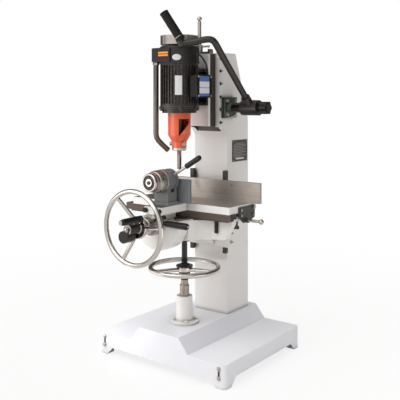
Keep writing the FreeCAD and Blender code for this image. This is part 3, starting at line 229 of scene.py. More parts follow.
class Groups:
    """The effects that several finishes share, each built once."""

    def __init__(self) -> None:
        """Builds all groups."""
        self.mottle = self._mottle()
        self.marks = self._marks()
        self.peel = self._peel()
        self.edge_wear_and_highlight = self._edge_wear_and_highlight()
        self.seam = self._corner_shade()

    @staticmethod
    def _mottle() -> bpy.types.NodeTree:
        """Soft blotches of dirt and handling.

        Returns:
            The group's tree.
        """
        w = new_group("HandlingMottle", [("Vector", "Vector", None), ("Scale", "Float", 8.0),
                                         ("Cover", "Float", 0.5)], [("Mask", "Float")])
        place, scale, cover = w.source.outputs[:3]
        coarse = w.add("TexNoise", {"Vector": place, "Scale": scale, "Detail": 5.0,
                                    "Roughness": 0.62})
        finer = w.math("MULTIPLY", scale, 6.3)
        small = w.add("TexNoise", {"Vector": place, "Scale": finer, "Detail": 3.0,
                                   "Roughness": 0.5})
        both = w.math("ADD", w.math("MULTIPLY", coarse.outputs[0], 0.72),
                      w.math("MULTIPLY", small.outputs[0], 0.28))
        low = w.math("SUBTRACT", 0.86, w.math("MULTIPLY", cover, 0.5))
        ranged = w.add("MapRange", {"Value": both, "From Min": low, "From Max": 0.78},
                       interpolation_type="SMOOTHSTEP")
        return w.finish(ranged.outputs[0])

    @staticmethod
    def _marks() -> bpy.types.NodeTree:
        """Fine parallel marks of grinding or turning.

        Returns:
            The group's tree.
        """
        w = new_group("ToolMarks", [("Vector", "Vector", None),
                                    ("Stretch", "Vector", (1.0, 1.0, 1.0))],
                      [("Mask", "Float"), ("Height", "Float")])
        place, stretch = w.source.outputs[:2]
        drawn = w.add("VectorMath", {0: place, 1: stretch}, operation="MULTIPLY")
        fine = w.add("TexNoise", {"Vector": drawn.outputs[0], "Scale": 1.0, "Detail": 4.0,
                                  "Roughness": 0.7})
        broad = w.add("VectorMath", {0: drawn.outputs[0], "Scale": 0.21}, operation="SCALE")
        wide = w.add("TexNoise", {"Vector": broad.outputs[0], "Scale": 1.0, "Detail": 2.0})
        mask = w.math("ADD", w.math("MULTIPLY", fine.outputs[0], 0.55),
                      w.math("MULTIPLY", wide.outputs[0], 0.45))
        ranged = w.add("MapRange", {"Value": mask, "From Min": 0.32, "From Max": 0.68})
        return w.finish(ranged.outputs[0], fine.outputs[0])

    @staticmethod
    def _peel() -> bpy.types.NodeTree:
        """Orange peel of sprayed paint, or the skin of a casting.

        Returns:
            The group's tree.
        """
        w = new_group("PaintPeel", [("Vector", "Vector", None), ("Scale", "Float", 220.0),
                                    ("Rough", "Float", 0.5)], [("Height", "Float")])
        place, scale, rough = w.source.outputs[:3]
        fine = w.add("TexNoise", {"Vector": place, "Scale": scale, "Detail": 2.0,
                                  "Roughness": rough})
        slow = w.add("TexNoise", {"Vector": place, "Scale": 14.0, "Detail": 1.0})
        return w.finish(w.math("ADD", fine.outputs[0], w.math("MULTIPLY", slow.outputs[0], 0.6)))

    @staticmethod
    def _edge_wear_and_highlight() -> bpy.types.NodeTree:
        """Edges rubbed bare, and on some finishes painted bright as a highlight, from the
        difference between the face and its rounded normal.

        Returns:
            The group's tree.
        """
        w = new_group("EdgeWearAndHighlight", [("Vector", "Vector", None), ("Amount", "Float", 0.5)],
                      [("Mask", "Float")])
        place, amount = w.source.outputs[:2]
        soft = w.add("Bevel", {"Radius": 0.0022}, samples=4)
        face = w.add("NewGeometry")
        dot = w.add("VectorMath", {0: soft.outputs[0], 1: face.outputs["Normal"]},
                    operation="DOT_PRODUCT")
        edge = w.add("MapRange", {"Value": dot.outputs["Value"], "From Min": 0.985,
                                  "From Max": 0.86})
        chips = w.add("TexNoise", {"Vector": place, "Scale": 95.0, "Detail": 4.0,
                                   "Roughness": 0.7})
        broken = w.add("MapRange", {"Value": chips.outputs[0], "From Min": 0.44, "From Max": 0.62})
        chipped = w.math("MULTIPLY", edge.outputs[0], broken.outputs[0])
        return w.finish(w.math("MULTIPLY", chipped, amount))

    @staticmethod
    def _corner_shade() -> bpy.types.NodeTree:
        """Painted shade that darkens corners and joints, taken from ambient occlusion.

        Returns:
            The group's tree.
        """
        w = new_group("SeamShade", [("Amount", "Float", 0.5)], [("Mask", "Float")])
        near = w.add("AmbientOcclusion", {"Distance": 0.02}, samples=8)
        occluded = w.add("MapRange", {"Value": near.outputs["AO"], "From Min": 0.9, "From Max": 0.35})
        return w.finish(w.math("MULTIPLY", occluded.outputs[0], w.source.outputs[0]))


# ------------------------------------------------------------------ finishes

# Colour of the painted shade in corners and along joints.
CORNER_SHADE_COLOUR: Colour = (0.1, 0.088, 0.078)
LABEL_DIRT: Colour = (0.3, 0.28, 0.26)
MARK_SHADE = 0.5
MARK_ROUGHNESS = 0.2
MARK_HEIGHT = 0.6
RUB_METAL = 0.8
BUMP_STRENGTH = 0.35
BUMP_DEPTH = 0.0006
COAT_ROUGHNESS = 0.08


@dataclass(frozen=True)
class Finish:
    """One painted, machined or moulded surface.

    A second colour lies over the first in blotches, and tool marks, painted shade in the corners
    and rubbed edges, which on some finishes are painted highlights, come on top where a finish has
    them.
    """

    name: str
    colour: Colour
    second: Colour
    roughness: float
    metallic: float = 0.0
    coat: float = 0.0
    cover: float = 0.3
    cover_scale: float = 7.0
    peel: float = 0.0
    peel_scale: float = 240.0
    marks: float = 0.0
    stretch: Point = (1.0, 1.0, 1.0)
    vary: float = 0.12
    edge_wear_and_highlight: float = 0.0
    edge_wear_and_highlight_colour: Colour = (0.42, 0.4, 0.38)
    shine: float = 0.5
    seam: float = 0.0

    def build(self, groups: Groups) -> bpy.types.Material:
        """Makes the material.

        Args:
            groups: The shared node groups.

        Returns:
            The material.
        """
        material, w = new_material(self.name)
        place = w.add("TexCoord").outputs["Object"]
        dirt = w.effect(groups.mottle, place, Scale=self.cover_scale, Cover=self.cover).outputs[0]
        colour = w.mix(dirt, (*self.colour, 1), (*self.second, 1))
        rough = w.math("ADD", w.math("MULTIPLY", dirt, self.vary), self.roughness, clamp=True)
        peel = w.effect(groups.peel, place, Scale=self.peel_scale)
        height = w.math("MULTIPLY", peel.outputs[0], self.peel)
        if self.marks:
            marks = w.effect(groups.marks, place, Stretch=self.stretch)
            shade = w.math("MULTIPLY", marks.outputs["Mask"], self.marks, clamp=True)
            colour = w.mix(shade, colour, (*[c * MARK_SHADE for c in self.colour], 1))
            extra = w.math("MULTIPLY", marks.outputs["Mask"], self.marks * MARK_ROUGHNESS)
            rough = w.math("ADD", rough, extra, clamp=True)
            raised = w.math("MULTIPLY", marks.outputs["Height"], self.marks * MARK_HEIGHT)
            height = w.math("ADD", height, raised)
        # Painted shade: corners and joints are darkened where ambient occlusion finds them.
        if self.seam:
            seam = w.effect(groups.seam, Amount=self.seam)
            colour = w.mix(seam.outputs[0], colour, (*CORNER_SHADE_COLOUR, 1))
        metal = self.metallic
        # Rubbed edges: wear, and on the motor and vise castings also a painted highlight.
        if self.edge_wear_and_highlight:
            edge_wear_and_highlight = w.effect(groups.edge_wear_and_highlight, place, Amount=self.edge_wear_and_highlight).outputs[0]
            colour = w.mix(edge_wear_and_highlight, colour, (*self.edge_wear_and_highlight_colour, 1))
            metal = metal or w.math("MULTIPLY", edge_wear_and_highlight, RUB_METAL, clamp=True)
        bump = w.add("Bump", {"Height": height, "Strength": BUMP_STRENGTH, "Distance": BUMP_DEPTH})
        shader = w.add("BsdfPrincipled", {
            "Base Color": colour, "Roughness": rough, "Metallic": metal, "Normal": bump.outputs[0],
            "Coat Weight": self.coat, "Coat Roughness": COAT_ROUGHNESS,
            "Specular IOR Level": self.shine})
        w.add("OutputMaterial", {"Surface": shader.outputs[0]})
        return material


@dataclass(frozen=True)
class BandedFinish:
    """A printed plate whose plain bands follow one axis, with no words on it."""

    name: str
    axis: int
    low: float
    high: float
    bands: tuple[tuple[float, Colour], ...]
    roughness: float = 0.35
    dirt_scale: float = 60.0
    dirt: float = 0.25

    def build(self, groups: Groups) -> bpy.types.Material:
        """Makes the material.

        Args:
            groups: The shared node groups.

        Returns:
            The material.
        """
        material, w = new_material(self.name)
        place = w.add("TexCoord").outputs["Object"]
        part = w.add("SeparateXYZ", {0: place}).outputs[self.axis]
        share = w.add("MapRange", {"Value": part, "From Min": self.low, "From Max": self.high})
        ramp = w.add("ValToRGB", {0: share.outputs[0]})
        ramp.color_ramp.interpolation = "CONSTANT"
        stops = ramp.color_ramp.elements
        for index, (at, colour) in enumerate(self.bands):
            stop = stops[index] if index < 2 else stops.new(at)
            stop.position = at
            stop.color = (*colour, 1)
        dirt = w.effect(groups.mottle, place, Scale=self.dirt_scale).outputs[0]
        colour = w.mix(w.math("MULTIPLY", dirt, self.dirt), ramp.outputs[0], (*LABEL_DIRT, 1))
        rough = w.math("ADD", w.math("MULTIPLY", dirt, 0.2), self.roughness)
        shader = w.add("BsdfPrincipled", {"Base Color": colour, "Roughness": rough})
        w.add("OutputMaterial", {"Surface": shader.outputs[0]})
        return material


ENAMEL = Finish(
    "white_enamel", srgb(239, 236, 233), srgb(216, 210, 205), 0.3, coat=0.25, cover=0.34,
    cover_scale=3.5, peel=0.35, peel_scale=260, edge_wear_and_highlight=0.12, edge_wear_and_highlight_colour=srgb(150, 145, 140), seam=0.6)
DECK = Finish(
    "deck_enamel", srgb(240, 240, 245), srgb(214, 212, 213), 0.36, coat=0.15, cover=0.4,
    cover_scale=4.0, peel=0.4, peel_scale=220, edge_wear_and_highlight=0.12, edge_wear_and_highlight_colour=srgb(150, 145, 140), seam=0.4)
BLACK = Finish(
    "black_enamel", srgb(26, 23, 21), srgb(43, 38, 34), 0.34, cover=0.5, cover_scale=18, peel=0.6,
    peel_scale=300, edge_wear_and_highlight=0.3, edge_wear_and_highlight_colour=srgb(104, 96, 88))
# Its bright rubbed fin edges are painted highlights as well as wear.
CASTBLACK = Finish(
    "motor_black", srgb(30, 26, 24), srgb(66, 57, 49), 0.34, cover=0.55, cover_scale=22, peel=1.2,
    peel_scale=190, edge_wear_and_highlight=0.9, edge_wear_and_highlight_colour=srgb(158, 148, 136))
GREEN = Finish(
    "bearing_green", srgb(38, 54, 42), srgb(60, 70, 58), 0.4, coat=0.1, cover=0.5, cover_scale=20,
    peel=1.0, peel_scale=200, edge_wear_and_highlight=0.6, edge_wear_and_highlight_colour=srgb(140, 138, 128))
ORANGE = Finish(
    "orange_enamel", srgb(230, 94, 54), srgb(206, 80, 45), 0.3, coat=0.3, cover=0.35,
    cover_scale=16, peel=0.5, peel_scale=260, edge_wear_and_highlight=0.2, edge_wear_and_highlight_colour=srgb(120, 90, 78))
WAY = Finish(
    "way_steel", srgb(84, 77, 71), srgb(52, 46, 42), 0.38, metallic=0.7, cover=0.55,
    cover_scale=14, marks=0.5, stretch=(260, 260, 5))
BAR = Finish(
    "guide_steel", srgb(70, 66, 62), srgb(46, 42, 39), 0.36, metallic=0.5, cover=0.5,
    cover_scale=14, marks=0.4, stretch=(260, 260, 5))
GROUND = Finish(
    "ground_iron", srgb(184, 175, 168), srgb(118, 107, 100), 0.36, metallic=0.85, cover=0.66,
    cover_scale=5.0, marks=0.36, stretch=(4, 160, 420), vary=0.2)
TABLETOP = Finish(
    "ground_table", srgb(158, 149, 142), srgb(96, 87, 80), 0.36, metallic=0.85, cover=0.66,
    cover_scale=5.0, marks=0.36, stretch=(4, 160, 420), vary=0.2)
OILY = Finish(
    "oily_iron", srgb(110, 97, 87), srgb(62, 53, 46), 0.42, metallic=0.6, cover=0.7,
    cover_scale=12, marks=0.5, stretch=(8, 220, 420), vary=0.25)
RIM = Finish(
    "wheel_chrome", srgb(206, 200, 194), srgb(138, 129, 121), 0.14, metallic=1.0, cover=0.5,
    cover_scale=9, marks=0.2, stretch=(60, 60, 60), vary=0.16)
BRIGHT = Finish(
    "bright_steel", srgb(206, 199, 192), srgb(136, 127, 119), 0.24, metallic=1.0, cover=0.5,
    cover_scale=26, marks=0.35, stretch=(40, 700, 40), vary=0.18)
DRUM = Finish(
    "handled_drum", srgb(182, 176, 169), srgb(80, 73, 67), 0.36, metallic=0.95, cover=0.74,
    cover_scale=30, marks=0.5, stretch=(60, 300, 60), vary=0.2)
SPUN = Finish(
    "spun_drum", srgb(196, 188, 180), srgb(140, 130, 121), 0.2, metallic=1.0, cover=0.5,
    cover_scale=14, marks=0.3, stretch=(12, 12, 900), vary=0.16)
SCREWED = Finish(
    "screw_steel", srgb(86, 80, 74), srgb(46, 42, 38), 0.34, metallic=0.9, cover=0.6,
    cover_scale=22, marks=0.8, stretch=(30, 30, 520), vary=0.2)
SLEEVE = Finish(
    "turned_sleeve", srgb(164, 154, 145), srgb(92, 82, 74), 0.24, metallic=1.0, cover=0.5,
    cover_scale=20, marks=0.5, stretch=(20, 20, 500), vary=0.2)
PLATED = Finish(
    "plated_screw", srgb(190, 184, 176), srgb(120, 112, 104), 0.26, metallic=1.0, cover=0.5,
    cover_scale=60, marks=0.2, stretch=(90, 90, 90))
# Its bright rubbed edges are painted highlights as well as wear.
CASTING = Finish(
    "vise_grey", srgb(116, 117, 118), srgb(66, 64, 62), 0.38, cover=0.62, cover_scale=14, peel=1.1,
    peel_scale=180, edge_wear_and_highlight=1.0, edge_wear_and_highlight_colour=srgb(186, 185, 182), seam=0.5)
JAW = Finish(
    "jaw_grey", srgb(118, 122, 125), srgb(84, 85, 87), 0.34, cover=0.5, cover_scale=12, peel=0.8,
    peel_scale=200, edge_wear_and_highlight=1.0, edge_wear_and_highlight_colour=srgb(192, 191, 188), seam=0.5)
LACQUER = Finish(
    "lever_lacquer", srgb(52, 49, 47), srgb(30, 28, 26), 0.3, metallic=0.3, cover=0.5,
    cover_scale=16, peel=0.3, marks=0.15, stretch=(80, 80, 80))
GRIP = Finish(
    "grip_rubber", srgb(24, 22, 21), srgb(42, 38, 35), 0.6, cover=0.55, cover_scale=40, peel=3.2,
    peel_scale=420, shine=0.25)
KNOB = Finish(
    "knob_plastic", srgb(20, 18, 17), srgb(38, 34, 31), 0.3, cover=0.45, cover_scale=40, peel=0.3,
    shine=0.35)
PLATEGREY = Finish(
    "bracket_grey", srgb(60, 60, 58), srgb(42, 41, 39), 0.4, cover=0.5, cover_scale=30, peel=1.0,
    peel_scale=240, edge_wear_and_highlight=0.4, edge_wear_and_highlight_colour=srgb(130, 126, 120))
GLOSS = Finish(
    "gloss_black", srgb(18, 17, 16), srgb(32, 29, 27), 0.2, coat=0.15, cover=0.4, cover_scale=24,
    peel=0.4)
BOXGREY = Finish(
    "box_plastic", srgb(20, 18, 17), srgb(36, 32, 29), 0.4, cover=0.5, cover_scale=30, peel=1.4,
    peel_scale=420, edge_wear_and_highlight=0.25, shine=0.2)
PIPE = Finish(
    "blower_tube", srgb(112, 103, 96), srgb(58, 51, 46), 0.24, metallic=0.9, cover=0.5,
    cover_scale=16, marks=0.2, stretch=(60, 60, 8), vary=0.16)
CHISEL = Finish(
    "chisel_steel", srgb(126, 114, 102), srgb(84, 74, 65), 0.32, metallic=1.0, cover=0.6,
    cover_scale=40, marks=0.4, stretch=(60, 60, 900))
RUBBER = Finish(
    "lead_sheath", srgb(26, 25, 24), srgb(44, 41, 38), 0.5, cover=0.5, cover_scale=60, peel=0.5)
PLATE = Finish(
    "plate_dark", srgb(84, 81, 79), srgb(62, 59, 56), 0.4, metallic=0.3, cover=0.6, cover_scale=40,
    marks=0.3, stretch=(4, 300, 4))
RULE = Finish(
    "plate_rule", srgb(150, 146, 143), srgb(112, 108, 104), 0.4, metallic=0.3, cover=0.5,
    cover_scale=60)
PALE = Finish(
    "pale_plate", srgb(226, 224, 226), srgb(190, 186, 184), 0.36, cover=0.4, cover_scale=60,
    peel=0.2)
AMBER = BandedFinish(
    "amber_label", 2, 1.2359, 1.2539,
    ((0.0, srgb(244, 170, 48)), (0.3, srgb(226, 88, 40)), (0.7, srgb(248, 184, 60))))
BLUE = srgb(88, 118, 176)
CARD = srgb(232, 232, 238)
BOXLABEL = BandedFinish(
    "box_label", 2, 1.0755, 1.1565,
    ((0.0, BLUE), (0.14, CARD), (0.40, BLUE), (0.43, CARD), (0.72, BLUE)))


# ------------------------------------------------------------------ shop: modelling


class Axis(Enum):
    """The line that a turned piece stands on."""

    X = 0
    Y = 1
    Z = 2

    def turn(self) -> Matrix:
        """The rotation that lays Z along this axis."""
        return {0: Matrix.Rotation(math.pi / 2, 4, "Y"), 1: Matrix.Rotation(-math.pi / 2, 4, "X"),
                2: Matrix.Identity(4)}[self.value]

    def place(self, first: float, second: float, along: float) -> Point:
        """A point from its two cross places and its place along the axis, all in millimetres."""
        return {0: (along, first, second), 1: (first, along, second),
                2: (first, second, along)}[self.value]

    def point(self, first: float, second: float, along: float) -> Vector:
        """The same point in metres."""
        return Vector(self.place(first, second, along)) * MM


class Shop:
    """Makes, copies and finishes meshes. Its sizes are in millimetres."""

    least_radius: float = 1e-4
    sharp_angle: float = 35.0
    rim_sides: int = 112
    rim_tube_sides: int = 24
    tube_rounding: int = 10

    def __init__(self, frame: dict) -> None:
        """Keeps the frame and builds the shared effects.

        Args:
            frame: The frame as it was loaded.
        """
        self.frame = frame
        self.groups = Groups()
        self.materials: dict[str, bpy.types.Material] = {}

    def material(self, finish: Finish | BandedFinish) -> bpy.types.Material:
        """The material of a finish, built once.

        Args:
            finish: The finish.

        Returns:
            Its material.
        """
        if finish.name not in self.materials:
            self.materials[finish.name] = finish.build(self.groups)
        return self.materials[finish.name]

    @staticmethod
    def clear() -> None:
        """Leaves edit mode and deselects everything."""
        if bpy.context.object and bpy.context.object.mode != "OBJECT":
            bpy.ops.object.mode_set(mode="OBJECT")
        bpy.ops.object.select_all(action="DESELECT")

    @staticmethod
    def pick(obj: bpy.types.Object) -> None:
        """Selects one object and makes it active.

        Args:
            obj: The object.
        """
        Shop.clear()
        obj.select_set(True)
        bpy.context.view_layer.objects.active = obj

    @staticmethod
    def close_up(merge: float = 0.0) -> None:
        """Points the faces of the piece in edit mode outwards and leaves edit mode.

        Args:
            merge: Vertices nearer than this many metres are merged first, if it isn't 0.
        """
        bpy.ops.mesh.select_all(action="SELECT")
        if merge:
            bpy.ops.mesh.remove_doubles(threshold=merge)
        bpy.ops.mesh.normals_make_consistent(inside=False)
        bpy.ops.object.mode_set(mode="OBJECT")

    @staticmethod
    def settle(obj: bpy.types.Object, matrix: Matrix) -> bpy.types.Object:
        """Moves the mesh itself and leaves the object at the origin.

        Args:
            obj: The object.
            matrix: The move, made after the object's own.

        Returns:
            The object.
        """
        obj.data.transform(matrix @ obj.matrix_world)
        obj.matrix_world = Matrix.Identity(4)
        obj.data.update()
        return obj

    def turned(self, name: str, axis: Axis, first: float, second: float, steps: Steps,
               sides: int = 64) -> bpy.types.Object:
        """A turned piece: a disc extruded and scaled from step to step.

        Args:
            name: The object's name.
            axis: Its axis.
            first: First cross place of the axis.
            second: Second cross place of the axis.
            steps: Place along the axis and radius of each step.
            sides: Number of sides.

        Returns:
            The object.
        """
        self.clear()
        start, radius = steps[0]
        bpy.ops.mesh.primitive_circle_add(vertices=sides, radius=radius * MM, fill_type="NGON",
                                          location=(0, 0, start * MM))
        obj = bpy.context.object
        obj.name = name
        bpy.ops.object.mode_set(mode="EDIT")
        bpy.ops.mesh.select_all(action="SELECT")
        for place, width in steps[1:]:
            bpy.ops.mesh.extrude_region_move(
                TRANSFORM_OT_translate={"value": (0, 0, (place - start) * MM)})
            if abs(width - radius) > 1e-9:
                share = max(width, self.least_radius) / radius
                bpy.ops.transform.resize(value=(share, share, 1),
                                         center_override=(0, 0, place * MM))
            start, radius = place, max(width, self.least_radius)
        self.close_up(1e-7)
        return self.settle(obj, Matrix.Translation(axis.point(first, second, 0)) @ axis.turn())

    def block(self, name: str, low: Point, high: Point) -> bpy.types.Object:
        """A block between two corners.

        Args:
            name: The object's name.
            low: Its lowest corner.
            high: Its highest corner.

        Returns:
            The object.
        """
        self.clear()
        middle = (Vector(low) + Vector(high)) * 0.5 * MM
        size = (Vector(high) - Vector(low)) * MM
        bpy.ops.mesh.primitive_cube_add(size=1, location=middle)
        obj = bpy.context.object
        obj.name = name
        obj.scale = size
        bpy.context.view_layer.update()
        return self.settle(obj, Matrix.Identity(4))

    def hoop(self, name: str, axis: Axis, first: float, second: float, along: float, radius: float,
             tube: float) -> bpy.types.Object:
        """A round rim.

        Args:
            name: The object's name.
            axis: Its axis.
            first: First cross place of the axis.
            second: Second cross place of the axis.
            along: Place of its middle plane along the axis.
            radius: Radius of the line that its tube follows.
            tube: Radius of the tube.

        Returns:
            The object.
        """
        self.clear()
        bpy.ops.mesh.primitive_torus_add(
            major_radius=radius * MM, minor_radius=tube * MM, major_segments=self.rim_sides,
            minor_segments=self.rim_tube_sides)
        obj = bpy.context.object
        obj.name = name
        return self.settle(obj, Matrix.Translation(axis.point(first, second, along)) @ axis.turn())

    def spar(self, name: str, start: Point, end: Point, radius: float, radius2: float,
             sides: int = 32) -> bpy.types.Object:
        """A tapered bar between two points.

        Args:
            name: The object's name.
            start: Middle of its first end.
            end: Middle of its last end.
            radius: Radius at the first end.
            radius2: Radius at the last end.
            sides: Number of sides.

        Returns:
            The object.
        """
        way = (Vector(end) - Vector(start)) * MM
        obj = self.turned(name, Axis.Z, 0, 0, ((0, radius), (way.length / MM, radius2)), sides)
        turn = way.to_track_quat("Z", "Y").to_matrix().to_4x4()
        return self.settle(obj, Matrix.Translation(Vector(start) * MM) @ turn)

    def bent(self, name: str, points: Sequence[Point], radius: float) -> bpy.types.Object:
        """A bent tube along a smooth line.

        Args:
            name: The object's name.
            points: The line's points.
            radius: The tube's radius.

        Returns:
            The object, a mesh.
        """
        self.clear()
        bpy.ops.curve.primitive_nurbs_path_add()
        obj = bpy.context.object
        obj.name = name
        curve = obj.data
        curve.splines.clear()
        spline = curve.splines.new("NURBS")
        spline.points.add(len(points) - 1)
        for point, spot in zip(spline.points, points):
            point.co = (*(Vector(spot) * MM), 1)
        spline.order_u = 3
        spline.use_endpoint_u = True
        spline.resolution_u = 24
        curve.bevel_depth = radius * MM
        curve.bevel_resolution = self.tube_rounding
        curve.use_fill_caps = True
        self.pick(obj)
        bpy.ops.object.convert(target="MESH")
        obj = bpy.context.object
        bpy.ops.object.mode_set(mode="EDIT")
        self.close_up(1e-6)
        return self.settle(obj, Matrix.Identity(4))

    def copied(self, node: str, name: str | None = None) -> bpy.types.Object:
        """A merged copy of a frame node, its flat faces made whole.

        Args:
            node: The node's name.
            name: The copy's name, if it isn't the node's with "_dressed".

        Returns:
            The copy.
        """
        source = self.frame["nodes"][node]
        mesh = source.data.copy()
        mesh.materials.clear()
        obj = bpy.data.objects.new(name or f"{node}_dressed", mesh)
        bpy.context.scene.collection.objects.link(obj)
        self.pick(obj)
        bpy.ops.object.mode_set(mode="EDIT")
        bpy.ops.mesh.select_all(action="SELECT")
        bpy.ops.mesh.remove_doubles(threshold=2e-6)
        bpy.ops.mesh.dissolve_limited(angle_limit=math.radians(0.6))
        bpy.ops.object.mode_set(mode="OBJECT")
        stored = obj.data.attributes.get("custom_normal")
        if stored:
            obj.data.attributes.remove(stored)
        return obj

    def join(self, name: str, *parts: bpy.types.Object) -> bpy.types.Object:
        """Joins objects into the first and names it.

        Args:
            name: The name of the whole.
            parts: The objects.

        Returns:
            The joined object.
        """
        self.clear()
        for part in parts:
            part.select_set(True)
        bpy.context.view_layer.objects.active = parts[0]
        bpy.ops.object.join()
        parts[0].name = name
        return parts[0]

    def soften(self, obj: bpy.types.Object, width: float, segments: int = 2,
               smooth: float = 32.0) -> bpy.types.Object:
        """Rounds the sharp edges and smooths the rest.

        Args:
            obj: The object.
            width: Width of the rounding.
            segments: Segments of the rounding.
            smooth: Edges up to this many degrees are shaded smooth.

        Returns:
            The object.
        """
        self.pick(obj)
        if width > 0:
            bevel = obj.modifiers.new("Rounding", "BEVEL")
            bevel.width = width * MM
            bevel.segments = segments
            bevel.limit_method = "ANGLE"
            bevel.angle_limit = math.radians(self.sharp_angle)
            bevel.harden_normals = False
            bevel.use_clamp_overlap = True
            bpy.ops.object.modifier_apply(modifier=bevel.name)
        bpy.ops.object.shade_smooth_by_angle(angle=math.radians(smooth))
        weigh = obj.modifiers.new("Weighting", "WEIGHTED_NORMAL")
        weigh.keep_sharp = True
        bpy.ops.object.modifier_apply(modifier=weigh.name)
        return obj

    def seat(self, obj: bpy.types.Object, finish: Finish | BandedFinish, body: str,
             nodes: Sequence[str] = ()) -> bpy.types.Object:
        """Paints a piece, hangs it on its body and lets it stand for its nodes.

        Args:
            obj: The piece.
            finish: Its finish.
            body: The body that it rides on.
            nodes: The frame nodes that it replaces.

        Returns:
            The piece.
        """
        if not obj.data.materials:
            obj.data.materials.append(self.material(finish))
        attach(obj, body)
        if nodes:
            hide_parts(*nodes)
        return obj

    def fit(self, obj: bpy.types.Object, width: float, finish: Finish | BandedFinish, body: str,
            nodes: Sequence[str] = (), segments: int = 2, smooth: float = 32.0) -> bpy.types.Object:
        """Rounds a piece's edges and seats it.

        Args:
            obj: The piece.
            width: Width of the rounding.
            finish: Its finish.
            body: The body that it rides on.
            nodes: The frame nodes that it replaces.
            segments: Segments of the rounding.
            smooth: Edges up to this many degrees are shaded smooth.

        Returns:
            The piece.
        """
        return self.seat(self.soften(obj, width, segments, smooth=smooth), finish, body, nodes)

    def paint(self, obj: bpy.types.Object, finishes: Sequence[Finish],
              choose: Callable[[Vector, Vector], int]) -> None:
        """Gives each face one of several finishes.

        Args:
            obj: The piece.
            finishes: The finishes.
            choose: Picks a finish by the face's middle and normal.
        """
        obj.data.materials.clear()
        for finish in finishes:
            obj.data.materials.append(self.material(finish))
        for face in obj.data.polygons:
            face.material_index = choose(face.center, face.normal)

    def dress(self, node: str, body: str, finish: Finish, width: float = 0.8,
              segments: int = 2) -> bpy.types.Object:
        """Rounds a copy of a node and puts it in the node's place.

        Args:
            node: The node's name.
            body: The body that it rides on.
            finish: Its finish.
            width: Width of the rounding.
            segments: Segments of the rounding.

        Returns:
            The dressed piece.
        """
        return self.fit(self.copied(node), width, finish, body, (node,), segments)

    def dress_faces(self, node: str, body: str, finishes: Sequence[Finish],
                    choose: Callable[[Vector, Vector], int], width: float,
                    segments: int = 2) -> bpy.types.Object:
        """Dresses a node whose faces have several finishes.

        Args:
            node: The node's name.
            body: The body that it rides on.
            finishes: The finishes.
            choose: Picks a finish by the face's middle and normal.
            width: Width of the rounding.
            segments: Segments of the rounding.

        Returns:
            The dressed piece.
        """
        obj = self.soften(self.copied(node), width, segments)
        self.paint(obj, finishes, choose)
        return self.seat(obj, finishes[0], body, (node,))

    def screw(self, name: str, axis: Axis, first: float, second: float, along: float, way: int,
              radius: float, head: float) -> bpy.types.Object:
        """A round socket-head screw standing on a face.

        Args:
            name: The object's name.
            axis: The screw's axis.
            first: First cross place.
            second: Second cross place.
            along: Place of the face.
            way: 1 or -1, the way that it stands out.
            radius: Head radius.
            head: Head height.

        Returns:
            The object.
        """
        steps = ((0, radius * 1.35), (0.9, radius * 1.35), (0.9, radius), (head * 0.8, radius),
                 (head, radius * 0.82), (head, radius * 0.45), (head * 0.45, radius * 0.4))
        return self.turned(name, axis, first, second, standing(along, way, steps), 24)

    def hexbolt(self, name: str, axis: Axis, first: float, second: float, along: float, way: int,
                radius: float, head: float) -> bpy.types.Object:
        """A hexagon bolt head on its washer.

        Args:
            name: The object's name.
            axis: The bolt's axis.
            first: First cross place.
            second: Second cross place.
            along: Place of the face that it stands on.
            way: 1 or -1, the way that it stands out.
            radius: Radius of the head over its corners.
            head: Height of the head.

        Returns:
            The object.
        """
        washer = self.turned(name, axis, first, second, standing(along, way, (
            (-0.2, radius * 1.3), (1.2, radius * 1.3), (1.5, radius * 1.2))), 32)
        top = self.turned(name + "_head", axis, first, second, standing(along, way, (
            (1.4, radius), (head * 0.8, radius), (head, radius * 0.84),
            (head + 0.01, radius * 0.3))), 6)
        return self.join(name, washer, top)


# ------------------------------------------------------------------ sub-assemblies


@dataclass
class HandWheel:
    """A round rim on three spokes and a turned hub."""

    shop: Shop
    name: str
    axis: Axis
    first: float
    second: float
    plane: float
    reach: float
    root: float
    root_plane: float
    tip_plane: float
    hub: Steps
    tube: float = 10.0
    root_radius: float = 8.8
    tip_radius: float = 7.6
    angles: tuple[int, ...] = (127, 247, 7)

    def build(self) -> bpy.types.Object:
        """Makes the wheel in one piece.

        Returns:
            The wheel, not yet rounded or painted.
        """
        parts = [self.shop.hoop(f"{self.name}_rim", self.axis, self.first, self.second, self.plane,
                                self.reach, self.tube)]
        for angle in self.angles:
            parts.append(self.shop.spar(f"{self.name}_spoke_{angle}",
                                        self._at(angle, self.root, self.root_plane),
                                        self._at(angle, self.reach, self.tip_plane),
                                        self.root_radius, self.tip_radius))
        parts.append(self.shop.turned(f"{self.name}_hub", self.axis, self.first, self.second,
                                      self.hub))
        return self.shop.join(f"{self.name}_wheel_turned", *parts)

    def _at(self, angle: float, out: float, along: float) -> Point:
        """A point at an angle, a distance from the axis and a place along it."""
        turn = math.radians(angle)
        return self.axis.place(self.first + out * math.cos(turn),
                               self.second + out * math.sin(turn), along)


@dataclass
class Base:
    """The sheet base with its straps."""

    shop: Shop
    strap_x: float = 292.0
    strap_half: float = 3.2
    strap_thick: float = 2.2
    front: float = -278.0
    low: float = 38.0
    high: float = 73.0
    bolt_seat: float = 1.8
    bolt_radius: float = 6.2
    bolt_head: float = 5.0

    def build(self) -> None:
        """Makes the pan and the front corner straps."""
        self.shop.dress("base_pan", "frame_body", DECK, 3.0, 3)
        for side, word in ((-1, "left"), (1, "right")):
            x = side * self.strap_x
            bar = self.shop.block(
                f"strap_{word}", (x - self.strap_half, self.front - self.strap_thick, self.low),
                (x + self.strap_half, self.front, self.high))
            self.shop.fit(bar, 0.6, GLOSS, "frame_body", ("base_straps",) if side < 0 else ())
            for z in (self.low, self.high):
                head = self.shop.hexbolt(f"strap_bolt_{word}_{int(z)}", Axis.Y, x, z,
                                         self.front - self.bolt_seat, -1, self.bolt_radius,
                                         self.bolt_head)
                self.shop.fit(head, 0.3, PLATED, "frame_body")


